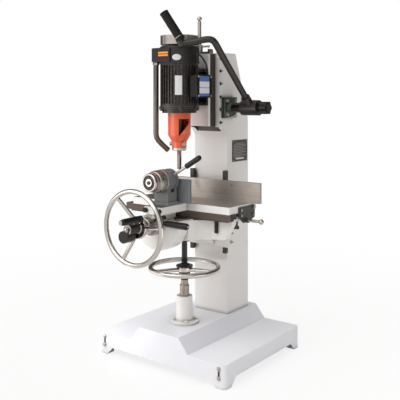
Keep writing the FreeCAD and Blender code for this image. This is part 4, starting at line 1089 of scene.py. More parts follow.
@dataclass
class Column:
    """The column, its knee bars, gib screws and plate."""

    shop: Shop
    face: float = 86.0
    gib_y: float = 23.5
    gibs: tuple[float, ...] = (965, 1020, 1073, 1129, 1182, 1235)
    way_half: float = 71.5
    way_low: float = 900.0
    way_back: float = 60.0
    plate_thick: float = 1.3
    rivet_in: float = 6.0
    field_in: float = 11.0
    field_top: float = 15.0
    field_span: float = 27.0
    fields: tuple[float, ...] = (0.62, 1, 1, 0.8, 1, 0.9, 1, 0.7, 1, 0.55, 0.66)

    def build(self) -> None:
        """Makes the column's pieces."""
        self.shop.dress_faces("column", "frame_body", (ENAMEL, WAY), self._face, 2.4, 3)
        self.shop.dress("guide_bars", "frame_body", BAR, 0.8)
        for index, z in enumerate(self.gibs):
            nut = self.shop.turned(f"gib_nut_{index}", Axis.X, self.gib_y, z, standing(
                self.face, 1, ((-0.2, 7.4), (0.8, 7.4), (0.8, 6), (4.6, 6), (5.2, 5.2))), 6)
            stud = self.shop.turned(f"gib_stud_{index}", Axis.X, self.gib_y, z, standing(
                self.face, 1, ((4, 3), (11.2, 3), (12, 2.3), (12, 1.3), (9.5, 1.2))), 20)
            self.shop.fit(nut, 0.25, SCREWED, "frame_body", ("head_gibs",) if index == 0 else ())
            self.shop.fit(stud, 0.25, PLATED, "frame_body")
        self._plate()

    def _face(self, at: Vector, way: Vector) -> int:
        """White casting, steel ways at the head."""
        return int(abs(at.x) < self.way_half * MM and at.z > self.way_low * MM
                   and at.y < self.way_back * MM)

    def _plate(self) -> None:
        """Makes the bare plate with a raised rim, four rivets and plain fields."""
        low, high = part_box("name_plate")
        y0, y1, z0, z1 = low.y / MM, high.y / MM, low.z / MM, high.z / MM
        plate = self.shop.block("maker_plate", (self.face, y0, z0),
                                (self.face + self.plate_thick, y1, z1))
        self.shop.pick(plate)
        bpy.ops.object.mode_set(mode="EDIT")
        bpy.ops.mesh.select_all(action="DESELECT")
        bpy.ops.object.mode_set(mode="OBJECT")
        for face in plate.data.polygons:
            face.select = face.normal.x > 0.9
        bpy.ops.object.mode_set(mode="EDIT")
        bpy.ops.mesh.inset(thickness=0.0022)
        bpy.ops.mesh.extrude_region_move(TRANSFORM_OT_translate={"value": (-0.0004, 0, 0)})
        bpy.ops.object.mode_set(mode="OBJECT")
        self.shop.fit(plate, 0.25, PLATE, "frame_body", ("name_plate",))
        for i, y in enumerate((y0 + self.rivet_in, y1 - self.rivet_in)):
            for j, z in enumerate((z0 + self.rivet_in, z1 - self.rivet_in)):
                rivet = self.shop.turned(f"plate_rivet_{i}{j}", Axis.X, y, z, standing(
                    self.face, 1, ((0.8, 2.6), (1.8, 2.4), (2.4, 1.5), (2.6, 0.5))), 20)
                self.shop.fit(rivet, 0, PLATED, "frame_body")
        wide = y1 - y0 - 2 * self.field_in
        last = len(self.fields) - 1
        for row, part in enumerate(self.fields):
            z = z1 - self.field_top - row * (z1 - z0 - self.field_span) / last
            half = 3.4 if row == last else 1.5
            left = y0 + self.field_in + (wide * (1 - part) * 0.5 if row in (0, last) else 0)
            strip = self.shop.block(f"plate_field_{row}", (self.face + 0.9, left, z - half),
                                    (self.face + 1.15, left + wide * part, z + half))
            self.shop.fit(strip, 0.1, PALE if row == last else RULE, "frame_body")


@dataclass
class Lift:
    """The pedestal, the lift handwheel and the screw."""

    shop: Shop
    y: float = -111.6
    plane: float = 370.0
    reach: float = 140.0
    thread_low: float = 243.0
    thread_high: float = 470.0
    pitch: float = 4.4

    def build(self) -> None:
        """Makes the lift's pieces."""
        self.shop.dress("pedestal", "frame_body", ENAMEL, 1.6, 3)
        bearing = self.shop.turned("lift_bearing_turned", Axis.Z, 0, self.y, (
            (256, 19.4), (298.5, 19.4), (301, 17.6), (301, 15.5), (321, 15.5), (322, 14.6),
            (322, 12.2), (257, 12.2)))
        self.shop.fit(bearing, 0.5, SLEEVE, "frame_body", ("lift_bearing",))
        hub = standing(self.plane, 1, (
            (-15.6, 24), (-13.6, 29), (0, 30), (4.4, 28.6), (4.4, 13), (-15.6, 13)))
        wheel = HandWheel(self.shop, "lift", Axis.Z, 0, self.y, self.plane, self.reach, root=22,
                          root_plane=self.plane - 6, tip_plane=self.plane - 1, hub=hub).build()
        self.shop.fit(wheel, 0, RIM, "lift_wheel_body", ("lift_wheel",), smooth=40)
        self.shop.dress("lift_nut", "lift_wheel_body", BLACK, 0.7)
        self._screw()

    def _screw(self) -> None:
        """Makes the threaded lift screw with its collar."""
        thread = ridges(self.thread_low, self.thread_high, self.pitch,
                        ((0, 11.9), (2.2, 11.9), (2.8, 11), (3.6, 11)))
        steps = [(241, 10.6), *thread, (478, 11.9), (479, 20.5), (480.5, 22), (488.6, 22)]
        screw = self.shop.turned("lift_screw_turned", Axis.Z, 0, self.y, steps, 40)
        self.shop.fit(screw, 0, GLOSS, "knee_body", ("lift_screw",), smooth=30)


@dataclass
class Knee:
    """The knee and its lock."""

    shop: Shop
    cheek: float = 120.5

    def build(self) -> None:
        """Makes the knee's pieces."""
        self.shop.dress_faces("knee", "knee_body", (ENAMEL, PLATED), self._face, 1.6, 3)
        self.shop.dress("knee_lock", "knee_lock_body", KNOB, 1.6, 3)

    def _face(self, at: Vector, way: Vector) -> int:
        """White casting, bright screw ends outside its cheek."""
        return int(at.x > self.cheek * MM)


@dataclass
class Saddle:
    """The saddle, apron, sleeve and their levers."""

    shop: Shop
    x: float = -61.0
    z: float = 560.5
    way_z: float = 587.2
    lock_y: float = -246.3
    lock_rise: float = 10.0
    arm_start: float = 45.0

    def build(self) -> None:
        """Makes the saddle's pieces."""
        self.shop.dress_faces("saddle", "saddle_body", (ENAMEL, OILY), self._face, 1.8, 3)
        self.shop.dress("apron", "saddle_body", ENAMEL, 2.2, 3)
        sleeve = self.shop.turned("wheel_sleeve_turned", Axis.Y, self.x, self.z, (
            (-215, 40), (-231, 40), (-233, 37), (-233, 34), (-297, 34), (-300, 31), (-300, 24),
            (-317, 24), (-317, 10.1), (-215, 10.1)))
        self.shop.fit(sleeve, 0.6, BRIGHT, "saddle_body", ("wheel_sleeve",))
        self._lock()
        self.shop.dress("saddle_key", "saddle_key_body", KNOB, 1.8, 3)
        wedge = self.shop.spar("clamp_lever", (12, -190, 583.5), (72, -186, 595.5), 5, 3.2)
        self.shop.fit(wedge, 0.8, KNOB, "saddle_body")
        boss = self.shop.block("clamp_boss", (34, -140, 573.5), (60, -127, 579.5))
        self.shop.fit(boss, 1.6, ENAMEL, "saddle_body", segments=3)

    def _face(self, at: Vector, way: Vector) -> int:
        """White casting, oily way on top."""
        return int(at.z > self.way_z * MM)

    def _lever_face(self, at: Vector, way: Vector) -> int:
        """Bright collar, black arm and grip."""
        return int(at.x > (self.x + self.arm_start) * MM)

    def _lock(self) -> None:
        """Makes the long lock lever with its cap, and the tongue under it."""
        y, z = self.lock_y, self.z + self.lock_rise
        collar = self.shop.turned("lock_collar", Axis.Y, self.x, self.z, standing(y, 1, (
            (13, 42), (11, 44), (-11, 44), (-13, 42), (-13, 34.1), (13, 34.1))))
        arm = self.shop.spar("lock_arm", (self.x + 38, y, z), (self.x + 76, y, z), 9, 7.5)
        grip = self.shop.turned("lock_grip", Axis.X, y, z, standing(self.x, 1, (
            (72, 9), (74, 12.2), (120, 13.5), (172, 13.5), (180, 12.4), (185, 9.4), (186, 5))), 48)
        lever = self.shop.soften(self.shop.join("lock_lever_dressed", collar, arm, grip), 0.4)
        self.shop.paint(lever, (DRUM, KNOB), self._lever_face)
        self.shop.seat(lever, DRUM, "saddle_lock_body", ("lock_lever",))
        cap = self.shop.turned("lock_cap", Axis.X, y, z, standing(self.x, 1, (
            (185, 5.4), (188, 5), (189, 3.4))), 24)
        self.shop.fit(cap, 0.2, PLATED, "saddle_lock_body")
        tongue = self.shop.spar("lock_tongue", (self.x - 15, y - 13, self.z + 8),
                                (self.x + 76, y - 9, self.z + 38), 4, 9)
        self.shop.fit(tongue, 1.0, KNOB, "saddle_lock_body")


@dataclass
class MainWheel:
    """The main handwheel, its shaft and the crank before it."""

    shop: Shop
    x: float = -61.0
    z: float = 560.5
    plane: float = -358.0
    reach: float = 144.0
    pin_x: float = 28.0
    pin_z: float = 39.0
    arm_back: float = -336.1
    nut_plane: float = -389.8
    nut_reach: float = 11.6
    nut_radius: float = 8.5
    pin_plane: float = -450.5
    pin_radius: float = 5.6

    def build(self) -> None:
        """Makes wheel, shaft and crank."""
        hub = ((-318, 38), (-320, 43), (-331, 45), (-334.5, 43.5), (-335.6, 39), (-334.2, 34),
               (-334.2, 24), (-336, 22), (-336, 10), (-318, 10))
        wheel = HandWheel(self.shop, "main", Axis.Y, self.x, self.z, self.plane, self.reach,
                          root=37, root_plane=-325, tip_plane=self.plane, hub=hub).build()
        self.shop.fit(wheel, 0, RIM, "wheel_body", ("main_wheel",), smooth=40)
        self.shop.dress("table_pinion", "wheel_body", BRIGHT, 0.15)
        self.shop.dress_faces("cross_crank", "crank_body", (BLACK, PLATED, BRIGHT),
                              self._crank_face, 1.3, 3)
        grip = self.shop.turned("crank_grip_turned", Axis.Y, self.x + self.pin_x,
                                self.z + self.pin_z, (
            (-356.4, 9), (-357, 11.4), (-362, 12.6), (-400, 13), (-440, 13), (-448, 11.6),
            (-450.6, 9), (-450.6, 5.1), (-356.4, 5.1)), 48)
        self.shop.fit(grip, 0.3, KNOB, "crank_grip_body", ("crank_grip",))

    def _crank_face(self, at: Vector, way: Vector) -> int:
        """Picks the crank's finishes: black arm and weight, bright nut and pin, steel screw.

        Args:
            at: Middle of the face.
            way: Normal of the face; not used.

        Returns:
            0 for black, 1 for plated and 2 for steel.
        """
        across, up = at.x / MM - self.x, at.z / MM - self.z
        if at.y > self.arm_back * MM:
            return 2
        near = math.hypot(across, up)
        if near < self.nut_reach and at.y < self.nut_plane * MM:
            return int(near < self.nut_radius)
        return int(at.y < self.pin_plane * MM
                   and math.hypot(across - self.pin_x, up - self.pin_z) < self.pin_radius)


@dataclass
class Table:
    """The table, its slide, the fence and the end bracket."""

    shop: Shop
    knob_front: float = -310.5
    stop_x: float = 235.5
    stop_z: float = 601.5
    bracket_face: float = 259.4
    screws: tuple[tuple[float, float], ...] = ((-76, 626.5), (13, 626.5), (-76, 604), (13, 600))

    def build(self) -> None:
        """Makes the table's pieces."""
        self.shop.dress_faces("table", "table_body", (ENAMEL, TABLETOP, KNOB), self._table_face,
                              1.6, 3)
        self.shop.dress_faces("table_slide", "table_body", (OILY, BLACK), self._slide_face, 0.5)
        # Painted shade: a black strip behind the rack teeth darkens the gaps between them.
        shade = self.shop.block("rack_shade", (-262, -137.4, 583.6), (238, -136.4, 588.5))
        self.shop.fit(shade, 0, KNOB, "table_body")
        self.shop.dress("fence", "table_body", GROUND, 1.4, 3)
        self.shop.dress("end_bracket", "table_body", PLATEGREY, 0.8)
        for index, (y, z) in enumerate(self.screws):
            head = self.shop.screw(f"bracket_screw_{index}", Axis.X, y, z, self.bracket_face, 1,
                                   4.2, 3.4)
            self.shop.fit(head, 0.2, PLATED, "table_body")
        self.shop.dress("table_lock", "table_lock_body", PLATED, 0.6)

    def _table_face(self, at: Vector, way: Vector) -> int:
        """White sides, ground top, black clamp knobs."""
        return 2 if at.y < self.knob_front * MM else int(way.z > 0.7)

    def _slide_face(self, at: Vector, way: Vector) -> int:
        """Oily iron, black stop at its right end."""
        return int(at.x > self.stop_x * MM and at.z > self.stop_z * MM)


@dataclass
class Vise:
    """The vise on the tongue."""

    shop: Shop
    z: float = 740.0
    peg_y: float = -296.0
    pegs: int = 5
    dish_reach: float = 23.5
    ring_reach: float = 43.5
    grip_start: float = 118.5

    def build(self) -> None:
        """Makes the vise's pieces."""
        self.shop.dress("vise_body", "table_body", CASTING, 1.6, 3)
        drum = self.shop.turned("vise_drum_turned", Axis.Y, 0, self.z, (
            (-262, 43), (-263, 45), (-267, 45), (-268, 43.6), (-272, 43.6), (-276, 44.6),
            (-290, 45), (-300, 44), (-306, 41.6), (-308, 38.6), (-318, 38.6), (-320, 37.4),
            (-320, 9), (-262, 9)), 96)
        self.shop.fit(drum, 0.5, DRUM, "table_body", ("vise_drum",))
        # Painted shade: black pegs stand for the dark insides of the drum's holes.
        for index in range(self.pegs):
            angle = math.radians(20 + index * 360 / self.pegs)
            peg = self.shop.spar(f"drum_hole_{index}", self._round(angle, 43, self.peg_y),
                                 self._round(angle, 45.3, self.peg_y), 3.4, 3.2, 20)
            self.shop.fit(peg, 0.1, KNOB, "table_body")
        self._knob()
        self.shop.dress("vise_ram", "ram_body", CASTING, 1.2, 3)
        self.shop.dress("vise_jaw", "ram_body", JAW, 1.6, 3)
        self.shop.dress_faces("vise_lever", "vise_lever_body", (BRIGHT, KNOB, CASTING),
                              self._lever_face, 1.0, 3)

    def _round(self, angle: float, reach: float, along: float) -> Point:
        """A point round the drum's axis at an angle in radians."""
        return reach * math.cos(angle), along, self.z + reach * math.sin(angle)

    def _knob(self) -> None:
        """Makes the knob with its nut and three dishes."""
        knob = self.shop.turned("vise_knob_turned", Axis.Y, 0, self.z, (
            (-320.3, 33.5), (-321.6, 36.4), (-331, 36.4), (-333.6, 35), (-334.8, 32.6),
            (-334.4, 29.4), (-330.4, 28), (-329.6, 22), (-331, 17), (-335.4, 15.6), (-336, 13.4),
            (-335.2, 9)), 96)
        self.shop.soften(knob, 0.3)
        self.shop.paint(knob, (DRUM, SPUN, SCREWED), self._knob_face)
        self.shop.seat(knob, DRUM, "vise_knob_body", ("vise_knob",))
        nut = self.shop.hexbolt("vise_knob_nut", Axis.Y, 0, self.z, -333.4, -1, 7.6, 7)
        self.shop.fit(nut, 0.3, SCREWED, "vise_knob_body")
        for index, angle in enumerate((90, 210, 330)):
            x, _, z = self._round(math.radians(angle), self.dish_reach, 0)
            dish = self.shop.turned(f"knob_dish_{index}", Axis.Y, x, z, (
                (-329, 4.6), (-331.4, 4.6), (-331.8, 4.2)), 24)
            self.shop.fit(dish, 0.1, KNOB, "vise_knob_body")

    def _knob_face(self, at: Vector, way: Vector) -> int:
        """Picks the knob's finishes: worn side, bright rim and boss, dark dish between them.

        Args:
            at: Middle of the face.
            way: Normal of the face.

        Returns:
            0 for worn, 1 for bright and 2 for dark.
        """
        reach = math.hypot(at.x / MM, at.z / MM - self.z)
        if way.y > -0.35 and reach > 30:
            return 0
        return 2 if 16.8 < reach < 29 else 1

    def _lever_face(self, at: Vector, way: Vector) -> int:
        """Picks the lever's finishes: grey ring, bright rod, black grip.

        Args:
            at: Middle of the face.
            way: Normal of the face; not used.

        Returns:
            0 for bright, 1 for black and 2 for grey.
        """
        up = at.z - self.z * MM
        if math.hypot(at.x, up) < self.ring_reach * MM:
            return 2
        return int(at.x * 0.86 + up * 0.51 > self.grip_start * MM)


@dataclass
class Head:
    """The head carriage and what it carries."""

    shop: Shop
    rod_y: float = -9.0

    def build(self) -> None:
        """Makes the carriage, bracket and stop."""
        self.shop.dress_faces("head_carriage", "head_body", (ENAMEL, WAY), self._face, 0.7)
        self.shop.dress("head_rack", "head_body", WAY, 0.2)
        self.shop.dress("motor_bracket", "head_body", BLACK, 1.6, 3)
        self.shop.dress("stop_bracket", "head_body", PLATED, 1.0)
        rod = self.shop.turned("depth_rod_turned", Axis.Z, 0, self.rod_y, (
            (1130, 6.4), (1131.5, 7.5), (1392, 7.5), (1394, 5.2), (1396, 5), (1398, 8),
            (1401, 10.2), (1404, 10.6), (1407, 10.2), (1410.4, 8.2), (1413, 4.8), (1414.3, 1)), 48)
        self.shop.fit(rod, 0.3, PLATED, "stop_body", ("depth_rod",))

    def _face(self, at: Vector, way: Vector) -> int:
        """White front and top, steel ways."""
        return int(way.y > -0.6 and way.z < 0.7)


@dataclass
class Motor:
    """The motor with its cowl, drum, terminal box and lead."""

    shop: Shop
    y: float = -146.0
    cowl_radius: float = 81.9
    screws: int = 14
    screw_z: float = 1213.5
    box_y: float = -135.0
    box_z: float = 1116.0
    box_face: float = 122.6
    badge_angle: float = -58.8
    badge_z: float = 1230.9
    badge_wide: float = 18.0
    badge_high: float = 12.0

    def build(self) -> None:
        """Makes the motor's pieces."""
        self.shop.dress("motor_body", "head_body", CASTBLACK, 0.4)
        self.shop.dress("end_bell", "head_body", CASTBLACK, 1.2, 3)
        self.shop.dress("fan_cowl", "head_body", BLACK, 1.6, 3)
        for index in range(self.screws):
            angle = math.radians(-150 + index * 24)
            start, end = ((reach * math.cos(angle), self.y + reach * math.sin(angle), self.screw_z)
                          for reach in (81, 84.2))
            head = self.shop.spar(f"cowl_screw_{index}", start, end, 2.6, 2.0, 16)
            self.shop.fit(head, 0.2, SCREWED, "head_body")
        drum = self.shop.turned("top_drum_turned", Axis.Z, 0, self.y, (
            (1283, 74), (1284.5, 77), (1319, 77), (1321, 77.8), (1322, 77), (1322, 74.4),
            (1320, 74), (1287, 74), (1286, 70)), 96)
        self.shop.fit(drum, 0.4, SPUN, "head_body", ("top_drum",))
        self._box()
        self.shop.dress("rating_plate", "head_body", PALE, 0.2)
        self.shop.dress("motor_lead", "head_body", RUBBER, 0)
        glands = (((76, -146.6, 1241), (86, -142, 1242.6)), ((97, -90, 1131), (96.6, -87, 1140)))
        for index, (start, end) in enumerate(glands):
            gland = self.shop.spar(f"lead_gland_{index}", start, end, 6.4, 4.4, 24)
            self.shop.fit(gland, 0.5, KNOB, "head_body")
        self._oval()

    def _box(self) -> None:
        """Makes the terminal box with four screws and a plain banded label."""
        self.shop.dress("terminal_box", "head_body", BOXGREY, 1.8, 3)
        for index, (dy, dz) in enumerate(((-41, -38), (41, -38), (-41, 38), (41, 38))):
            head = self.shop.screw(f"box_screw_{index}", Axis.X, self.box_y + dy, self.box_z + dz,
                                   self.box_face, 1, 3.8, 2.6)
            self.shop.fit(head, 0.2, PLATED, "head_body")
        label = self.shop.block("box_label", (119.9, -167.5, 1075.5), (120.5, -102.5, 1156.5))
        self.shop.fit(label, 0.15, BOXLABEL, "head_body")

    def _oval(self) -> None:
        """Makes the bare oval badge and lays it round the cowl."""
        rings = [(0, 1.0), (1.0, 1.0), (1.2, 0.95)]
        rings += [(1.2, share / 10) for share in range(9, 0, -1)]
        oval = self.shop.turned("cowl_oval", Axis.Z, 0, 0, rings, 48)
        middle = math.radians(self.badge_angle)
        for vertex in oval.data.vertices:
            along, up = vertex.co.x / MM * self.badge_wide, vertex.co.y / MM * self.badge_high
            angle, reach = middle + along / 82, self.cowl_radius + vertex.co.z / MM
            spot = (reach * math.cos(angle), self.y + reach * math.sin(angle), self.badge_z + up)
            vertex.co = Vector(spot) * MM
        self.shop.pick(oval)
        bpy.ops.object.mode_set(mode="EDIT")
        self.shop.close_up()
        self.shop.fit(oval, 0, PALE, "head_body")


@dataclass
class Blower:
    """The chip blower's box and pipe."""

    shop: Shop
    x: float = -75.0
    y: float = -204.0
    nut_low: float = 1201.8
    mouth_z: float = 866.0
    mouth_way: Point = (0.37, 0.63, -0.68)

    def build(self) -> None:
        """Makes the blower's pieces."""
        self.shop.dress("blower_box", "head_body", BLACK, 4.0, 4)
        amber = self.shop.block("blower_label", (-37.4, -234.6, 1235.9), (12.2, -234, 1253.2))
        self.shop.fit(amber, 0.15, AMBER, "head_body")
        nut = self.shop.turned("blower_nut", Axis.Z, self.x, self.y, (
            (1202, 12.6), (1203.5, 13.9), (1212.5, 13.9), (1214, 12.6)), 6)
        straight = [(self.x, self.y, z) for z in (1203, 1100, 1000, 935, 915)]
        pipe = self.shop.bent("blower_pipe_bent", (
            *straight, (-72, -198, 899), (-62, -180, 877), (-48, -158, 854)), 11)
        whole = self.shop.soften(self.shop.join("blower_pipe_dressed", pipe, nut), 0.4)
        self.shop.paint(whole, (PIPE, PLATED, BLACK), self._face)
        self.shop.seat(whole, PIPE, "head_body", ("blower_pipe",))

    def _face(self, at: Vector, way: Vector) -> int:
        """Picks the pipe's finishes: dark tube, bright nut, and a black mouth painted as shade for
        the open bore.

        Args:
            at: Middle of the face.
            way: Normal of the face.

        Returns:
            0 for the tube, 1 for the nut and 2 for the mouth.
        """
        if at.z > self.nut_low * MM:
            return 1
        # Painted shade: the closed mouth is black where the open bore would be dark.
        return 2 if at.z < self.mouth_z * MM and way.dot(Vector(self.mouth_way)) > 0.9 else 0


@dataclass
class Holder:
    """The chisel holder, chisel, auger and spindle."""

    shop: Shop
    y: float = -146.0
    bit_low: float = 782.0
    bit_radius: float = 4.5
    bit_flat: float = 2.5
    bit_waist: float = 0.45
    twists: int = 44
    twist_step: float = 2.6
    twist_turn: float = 24.0

    def build(self) -> None:
        """Makes the holder's pieces."""
        self.shop.dress("chisel_holder", "head_body", ORANGE, 1.4, 3)
        self.shop.dress("nose_ring", "head_body", BRIGHT, 0.8)
        self.shop.dress("holder_screws", "head_body", PLATED, 0.8, 3)
        self.shop.dress("hollow_chisel", "head_body", CHISEL, 0.25)
        self.shop.dress("spindle", "spindle_body", SCREWED, 0.8)
        self._auger()

    def _auger(self) -> None:
        """Makes the twisted auger bit: a waisted bar turned as it is extruded."""
        self.shop.clear()
        z, step = self.bit_low * MM, self.twist_step * MM
        bpy.ops.mesh.primitive_circle_add(vertices=12, radius=self.bit_radius * MM,
                                          fill_type="NGON", location=(0, 0, z))
        bit = bpy.context.object
        bit.name = "auger_turned"
        for vertex in bit.data.vertices:
            if abs(vertex.co.y) > self.bit_flat * MM:
                vertex.co.y *= self.bit_waist
        bpy.ops.object.mode_set(mode="EDIT")
        bpy.ops.mesh.select_all(action="SELECT")
        for _ in range(self.twists):
            bpy.ops.mesh.extrude_region_move(TRANSFORM_OT_translate={"value": (0, 0, step)})
            z += step
            bpy.ops.transform.rotate(value=math.radians(self.twist_turn), orient_axis="Z",
                                     center_override=(0, 0, z))
        self.shop.close_up()
        self.shop.settle(bit, Matrix.Translation((0, self.y * MM, 0)))
        point = self.shop.turned("auger_point", Axis.Z, 0, self.y,
                                 ((782.5, 2.6), (779, 2.2), (776.2, 0.4)), 16)
        shank = self.shop.turned("auger_shank", Axis.Z, 0, self.y, ((894, 4.6), (911, 4.6)), 24)
        whole = self.shop.join("auger_dressed", bit, point, shank)
        self.shop.fit(whole, 0, CHISEL, "spindle_body", ("auger_bit",), smooth=45)


@dataclass
class Feed:
    """The feed bearing, hub, lever and knob."""

    shop: Shop
    y: float = 75.5
    z: float = 1028.0
    bolt_reach: float = 30.0
    bolt_face: float = 99.5
    boss_face: float = 117.5
    grip_start: Point = (80.5, -240, 1300)
    grip_end: Point = (30, -270, 1393)
    ring_pitch: float = 4.6

    def build(self) -> None:
        """Makes the feed's pieces."""
        self.shop.dress_faces("feed_bearing", "frame_body", (GREEN, GLOSS, PLATED),
                              self._bearing_face, 1.6, 3)
        self.shop.dress("feed_pinion", "lever_body", WAY, 0.3)
        self.shop.dress("lever_hub", "lever_body", LACQUER, 1.8, 3)
        arm = self.shop.bent("lever_arm_bent", (
            (204, 50, 1056), (200, -20, 1131), (195, -90, 1207), (192, -140, 1262),
            (190, -170, 1294), (170, -184, 1298), (130, -208, 1288), (104, -222, 1284),
            (80, -235, 1283)), 13)
        socket = self.shop.spar("lever_socket", (84, -229, 1276), (76, -242, 1301), 15, 16.2, 48)
        whole = self.shop.join("lever_arm_dressed", arm, socket)
        self.shop.fit(whole, 0.6, LACQUER, "lever_body", ("lever_arm",))
        self._grip()
        self.shop.dress("feed_knob", "feed_knob_body", KNOB, 2.2, 4)

    def _bearing_face(self, at: Vector, way: Vector) -> int:
        """Picks the bearing's finishes: green flange, black boss, bright bolts.

        Args:
            at: Middle of the face.
            way: Normal of the face; not used.

        Returns:
            0 for green, 1 for black and 2 for bright.
        """
        reach = math.hypot(at.y / MM - self.y, at.z / MM - self.z)
        if reach > self.bolt_reach and at.x > self.bolt_face * MM:
            return 2
        return int(at.x > self.boss_face * MM)

    def _grip(self) -> None:
        """Makes the rubber grip with its ribs and end cap, and the plated ring on it."""
        start, end = Vector(self.grip_start), Vector(self.grip_end)
        length = (end - start).length
        place = (Matrix.Translation(start * MM)
                 @ (end - start).to_track_quat("Z", "Y").to_matrix().to_4x4())
        ribs = ridges(14.0, length + 4, self.ring_pitch,
                      ((0, 17.6), (2.6, 17.6), (3.1, 17.1), (3.9, 17.1)))
        cap = standing(length, 1, ((7.4, 18.2), (12.2, 18.2), (14.4, 16.4), (14.8, 12),
                                   (13.6, 10.5)))
        grip = self.shop.turned("lever_grip_turned", Axis.Z, 0, 0, (
            (-6, 14), (-5, 18.4), (0, 19.4), (6, 19.2), (7.5, 16.6), (11, 16.6), (12, 17.2),
            *ribs, *cap), 56)
        self.shop.settle(grip, place)
        self.shop.fit(grip, 0.15, GRIP, "lever_body", ("lever_grip",), smooth=50)
        ring = self.shop.turned("grip_ring", Axis.Z, 0, 0, (
            (7.6, 16.9), (8.2, 17.7), (10.4, 17.7), (11, 16.9)), 56)
        self.shop.settle(ring, place)
        self.shop.fit(ring, 0.2, PLATED, "lever_body")


# ------------------------------------------------------------------ studio


@dataclass(frozen=True)
class Lamp:
    """A square lamp that fills in one part of the machine."""

    name: str
    place: Point
    aim: Point
    size: float
    energy: float

    def build(self) -> None:
        """Adds the lamp and turns it to what it lights."""
        Shop.clear()
        bpy.ops.object.light_add(type="AREA", location=self.place)
        lamp = bpy.context.object
        lamp.name = self.name
        lamp.data.size = self.size
        lamp.data.energy = self.energy
        way = Vector(self.aim) - Vector(self.place)
        lamp.rotation_euler = way.to_track_quat("-Z", "Y").to_euler()


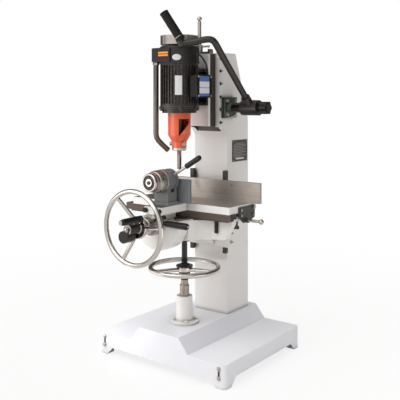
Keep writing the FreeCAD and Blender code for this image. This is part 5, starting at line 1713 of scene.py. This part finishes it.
@dataclass(frozen=True)
class Studio:
    """Floor, lamps, world and camera, in metres and degrees."""

    floor_paint: Colour = (0.83, 0.82, 0.81)
    sun_way: Point = (0.14, 0.66, -0.62)
    sun_energy: float = 1.15
    sun_angle: float = 50.0
    fills: tuple[Lamp, ...] = (
        Lamp("low_fill", (1.5, -0.25, 0.16), (0.1, 0.0, 0.12), 0.9, 2.7),
        Lamp("front_fill", (-0.24, -0.3, 0.24), (0.03, 0.08, 0.16), 0.35, 0.26),
        Lamp("middle_fill", (-0.35, -0.75, 0.84), (0.02, 0.05, 0.9), 0.5, 1.5),
    )
    eye: Point = (1.7395, -2.3138, 1.06725)
    eye_turn: float = 37.0
    lens: float = 61.22
    shift: float = -0.2542

    def build(self) -> None:
        """Makes the studio."""
        scene = bpy.context.scene
        scene.view_settings.view_transform = "Standard"
        self._floor()
        self._world(scene)
        self._sun()
        for lamp in self.fills:
            lamp.build()
        self._camera(scene)

    def _floor(self) -> None:
        """Makes the floor: white to the camera but for the shadow, pale grey to the rest."""
        Shop.clear()
        bpy.ops.mesh.primitive_plane_add(size=60, location=(0, 0, -0.0005))
        floor = bpy.context.object
        floor.name = "floor"
        material, w = new_material("studio_floor")
        path = w.add("LightPath")
        place = w.add("TexCoord").outputs["Object"]
        away = w.add("VectorMath", {0: place}, operation="LENGTH").outputs["Value"]
        share = w.add("MapRange", {"Value": away, "From Min": 0.7, "From Max": 2.4,
                                   "To Min": 0.82, "To Max": 1.0})
        seen = w.math("MULTIPLY", path.outputs["Is Camera Ray"], share.outputs[0])
        matt = w.add("BsdfDiffuse", {"Color": (*self.floor_paint, 1)})
        white = w.add("Emission", {"Color": (1, 1, 1, 1), "Strength": 1.0})
        mixed = w.add("MixShader", {0: seen, 1: matt.outputs[0], 2: white.outputs[0]})
        w.add("OutputMaterial", {0: mixed.outputs[0]})
        floor.data.materials.append(material)

    @staticmethod
    def _world(scene: bpy.types.Scene) -> None:
        """Makes the world: white to the camera and through glass, broken by dark patches to
        metal, and a sky that is brighter above and dimmer on the right to everything else.

        Args:
            scene: The scene that gets it.
        """
        world = bpy.data.worlds.new("studio")
        scene.world = world
        world.use_nodes = True
        w = Wiring(world.node_tree)
        path = w.add("LightPath")
        way = w.add("TexCoord").outputs["Generated"]
        parts = w.add("SeparateXYZ", {0: way})
        side = w.add("MapRange", {"Value": parts.outputs[0], "From Min": -1.0, "From Max": 1.0,
                                  "To Min": 0.48, "To Max": 0.06})
        high = w.math("POWER", w.math("MAXIMUM", parts.outputs[2], 0.0), 4.0)
        level = w.math("ADD", side.outputs[0], w.math("MULTIPLY", high, 1.5))
        front = w.add("VectorMath", {0: way, 1: (-0.12, -0.86, 0.5)}, operation="DOT_PRODUCT")
        stands = w.add("TexNoise", {"Vector": way, "Scale": 3.4, "Detail": 3.0, "Roughness": 0.6})
        spread = w.math("MULTIPLY", w.math("SUBTRACT", stands.outputs[0], 0.5), 2.4)
        broken = w.math("ADD", front.outputs["Value"], spread)
        shown = w.add("MapRange", {"Value": broken, "From Min": 0.1, "From Max": 0.7,
                                   "To Min": 0.1, "To Max": 1.0}, interpolation_type="SMOOTHSTEP")
        white = w.math("MAXIMUM", path.outputs["Is Camera Ray"],
                       path.outputs["Is Transmission Ray"])
        rough = w.add("Background", {"Color": (1, 0.995, 0.99, 1), "Strength": level})
        shiny = w.add("Background", {"Color": (1, 0.99, 0.975, 1), "Strength": shown.outputs[0]})
        clear = w.add("Background", {"Color": (1, 1, 1, 1), "Strength": 1.0})
        first = w.add("MixShader", {0: path.outputs["Is Glossy Ray"], 1: rough.outputs[0],
                                    2: shiny.outputs[0]})
        mixed = w.add("MixShader", {0: white, 1: first.outputs[0], 2: clear.outputs[0]})
        w.add("OutputWorld", {0: mixed.outputs[0]})

    def _sun(self) -> None:
        """Adds the broad lamp that comes from above the front."""
        Shop.clear()
        bpy.ops.object.light_add(type="SUN", location=(-2, -2, 3))
        lamp = bpy.context.object
        lamp.name = "sun"
        lamp.data.energy = self.sun_energy
        lamp.data.angle = math.radians(self.sun_angle)
        lamp.data.color = (1.0, 0.99, 0.98)
        lamp.rotation_euler = Vector(self.sun_way).to_track_quat("-Z", "Y").to_euler()

    def _camera(self, scene: bpy.types.Scene) -> None:
        """Adds the camera.

        Args:
            scene: The scene that gets it.
        """
        Shop.clear()
        bpy.ops.object.camera_add(location=self.eye,
                                  rotation=(math.pi / 2, 0, math.radians(self.eye_turn)))
        camera = bpy.context.object
        camera.name = "camera"
        camera.data.sensor_width = 36
        camera.data.lens = self.lens
        camera.data.shift_y = self.shift
        scene.camera = camera


def main() -> None:
    """Builds the machine from the floor up and reports each part."""
    logging.basicConfig(level=logging.INFO, format="%(name)s: %(message)s")
    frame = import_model()
    shop = Shop(frame)
    for part in (Base, Column, Lift, Knee, Saddle, MainWheel, Table, Vise, Head, Motor, Blower,
                 Holder, Feed):
        part(shop).build()
        LOG.info("%s built", part.__name__)
    Studio().build()


if __name__ == "__main__":
    main()
